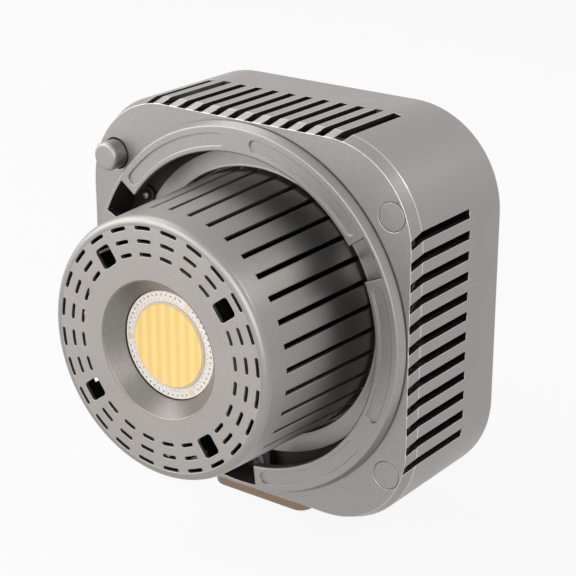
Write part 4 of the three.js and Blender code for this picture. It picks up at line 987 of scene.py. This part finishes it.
# %% Brass insert with its thread
insert_out, insert_high, insert_edge, bore, bore_edge = 7.0, -65.0, 0.2, 5.2, 0.4
thread_pitch, thread_depth, thread_turns, thread_steps = 1.5875, 0.5, 2.6, 78
shape = bmesh.new()
bore_start = (bore, foot_low + 0.3)
turn_profile(shape, [bore_start, (bore + bore_edge, foot_low), (insert_out - insert_edge, foot_low),
                     (insert_out, foot_low + insert_edge), (insert_out, insert_high), (bore, insert_high),
                     bore_start], steps=64)
tooth = [(bore + 0.02, -0.6), (bore - thread_depth, -0.1), (bore - thread_depth, 0.1), (bore + 0.02, 0.6)]
points, edges = draw_chain(shape, [(radius, foot_low + 1.0 + y, 0) for radius, y in tooth], closed=True)
rise = thread_pitch * thread_turns / thread_steps
spin(shape, points + edges, 360 * thread_turns, thread_steps, dvec=(0, rise, 0))
fill_holes(shape, 4)
bmesh.ops.rotate(shape, verts=shape.verts, cent=(0, 0, 0), matrix=upright.to_3x3())
bmesh.ops.translate(shape, verts=shape.verts, vec=(0, foot_middle, 0))
finish_piece(shape, "thread_insert", turned_brass, stands_for=["foot_insert"])

# %% [markdown]
# ## Rear cover and controls
# The back is a flat painted cover, let in half a millimetre. It holds a window over the display, two fluted
# dials, two round keys, a power rocker and the supply inlet, above and below a row of cooling slots. None
# of this shows in the picture.

# %% Rear cover with its openings
cover_back, cover_half, cover_corner = 49.8, 62.2, 29.7
display_size, display_place = (24.9, 14.4, 2.3), (16.9, 29.25)
rocker_size, rocker_place = (10.0, 7.0, 1.0), (27.3, -37.7)
inlet_place = (-27.3, -37.7)
dial_places = [(-39.0, 40.3), (-39.0, 16.9)]
key_places = [(6.5, 6.5), (27.3, 6.5)]
control_hole, inlet_hole = 3.5, 8.9
rear_slots, rear_pitch, rear_slot_z, rear_slot_size = 12, 6.4, -10.4, (1.3, 6.0, 1.29)

shape = bmesh.new()
draw_rounded(shape, cover_half, cover_half, cover_corner, cover_back, steps=24)
draw_rounded(shape, *display_size, cover_back, display_place)
draw_rounded(shape, *rocker_size, cover_back, rocker_place)
draw_circle(shape, inlet_hole, cover_back, inlet_place, 64)
for place in dial_places:
    draw_circle(shape, control_hole, cover_back, place, 32)
for place in key_places:
    draw_circle(shape, control_hole, cover_back, place, 48)
for k in range(rear_slots):
    x = (k - (rear_slots - 1) / 2) * rear_pitch
    draw_rounded(shape, *rear_slot_size, cover_back, (x, rear_slot_z))
fill_flat(shape, cover_back, backwards)
# The cover's inside is black: painted shade.
finish_piece(shape, "rear_cover_sheet", titanium_paint, stands_for=["rear_cover"],
             thickness=2.5, rounding=0.3, closed=False, shade_lining=black_nylon_and_shade)

# %% Fluted dials
dial_radius, flute_count, flute_depth = 7.8, 24, 0.025
dial_front, grip_length, dial_back, crown_radius, crown_round = 50.1, 7.4, 58.5, 7.0, 0.6
for name, place in zip(("brightness", "colour"), dial_places):
    shape = bmesh.new()
    bmesh.ops.create_circle(shape, cap_ends=True, segments=192, radius=dial_radius, matrix=upright)
    for vert in shape.verts:
        vert.co *= 1 + flute_depth * math.cos(flute_count * math.atan2(vert.co.z, vert.co.x))
    bmesh.ops.translate(shape, verts=shape.verts, vec=(0, dial_front, 0))
    edges = shape.edges[:]
    for grow, back in ((1.0, grip_length), (0.97, 0.4)):
        edges = pull_edges(shape, edges, grow, back)
    turn_profile(shape, [(0, 57.8), (crown_radius, 57.8)]
                 + round_over(crown_radius - crown_round, dial_back, crown_round, 0, 90)
                 + [(5.6, 59.1), (5.2, 58.8), (0, 58.7)])
    fill_holes(shape)
    bmesh.ops.translate(shape, verts=shape.verts, vec=(place[0], 0, place[1]))
    finish_piece(shape, name + "_knob", control_paint, name + "_body", [name + "_dial"])

# %% Keys and inlet
for name, place in zip(("mode", "menu"), key_places):
    turned_piece(name + "_key_cap", [(0, 46.1), (4.1, 46.1), (4.1, 47.0), (3.2, 47.0)]
                 + round_over(2.7, 50.9, 0.5, 0, 90, 5) + [(0, 51.4)], place, control_paint,
                 name + "_key_body", [name + "_button"])
profile = [(0, 41.55), (8.6, 41.55), (8.6, 49.95), (10.2, 49.95)] + round_over(9.8, 50.75, 0.4, 0, 90, 4)
profile += [(7.3, 51.15), (7.0, 50.85), (7.0, 43.15), (0, 43.15)]
turned_piece("supply_inlet", profile, inlet_place, dark_zinc, stands_for=["dc_inlet"])
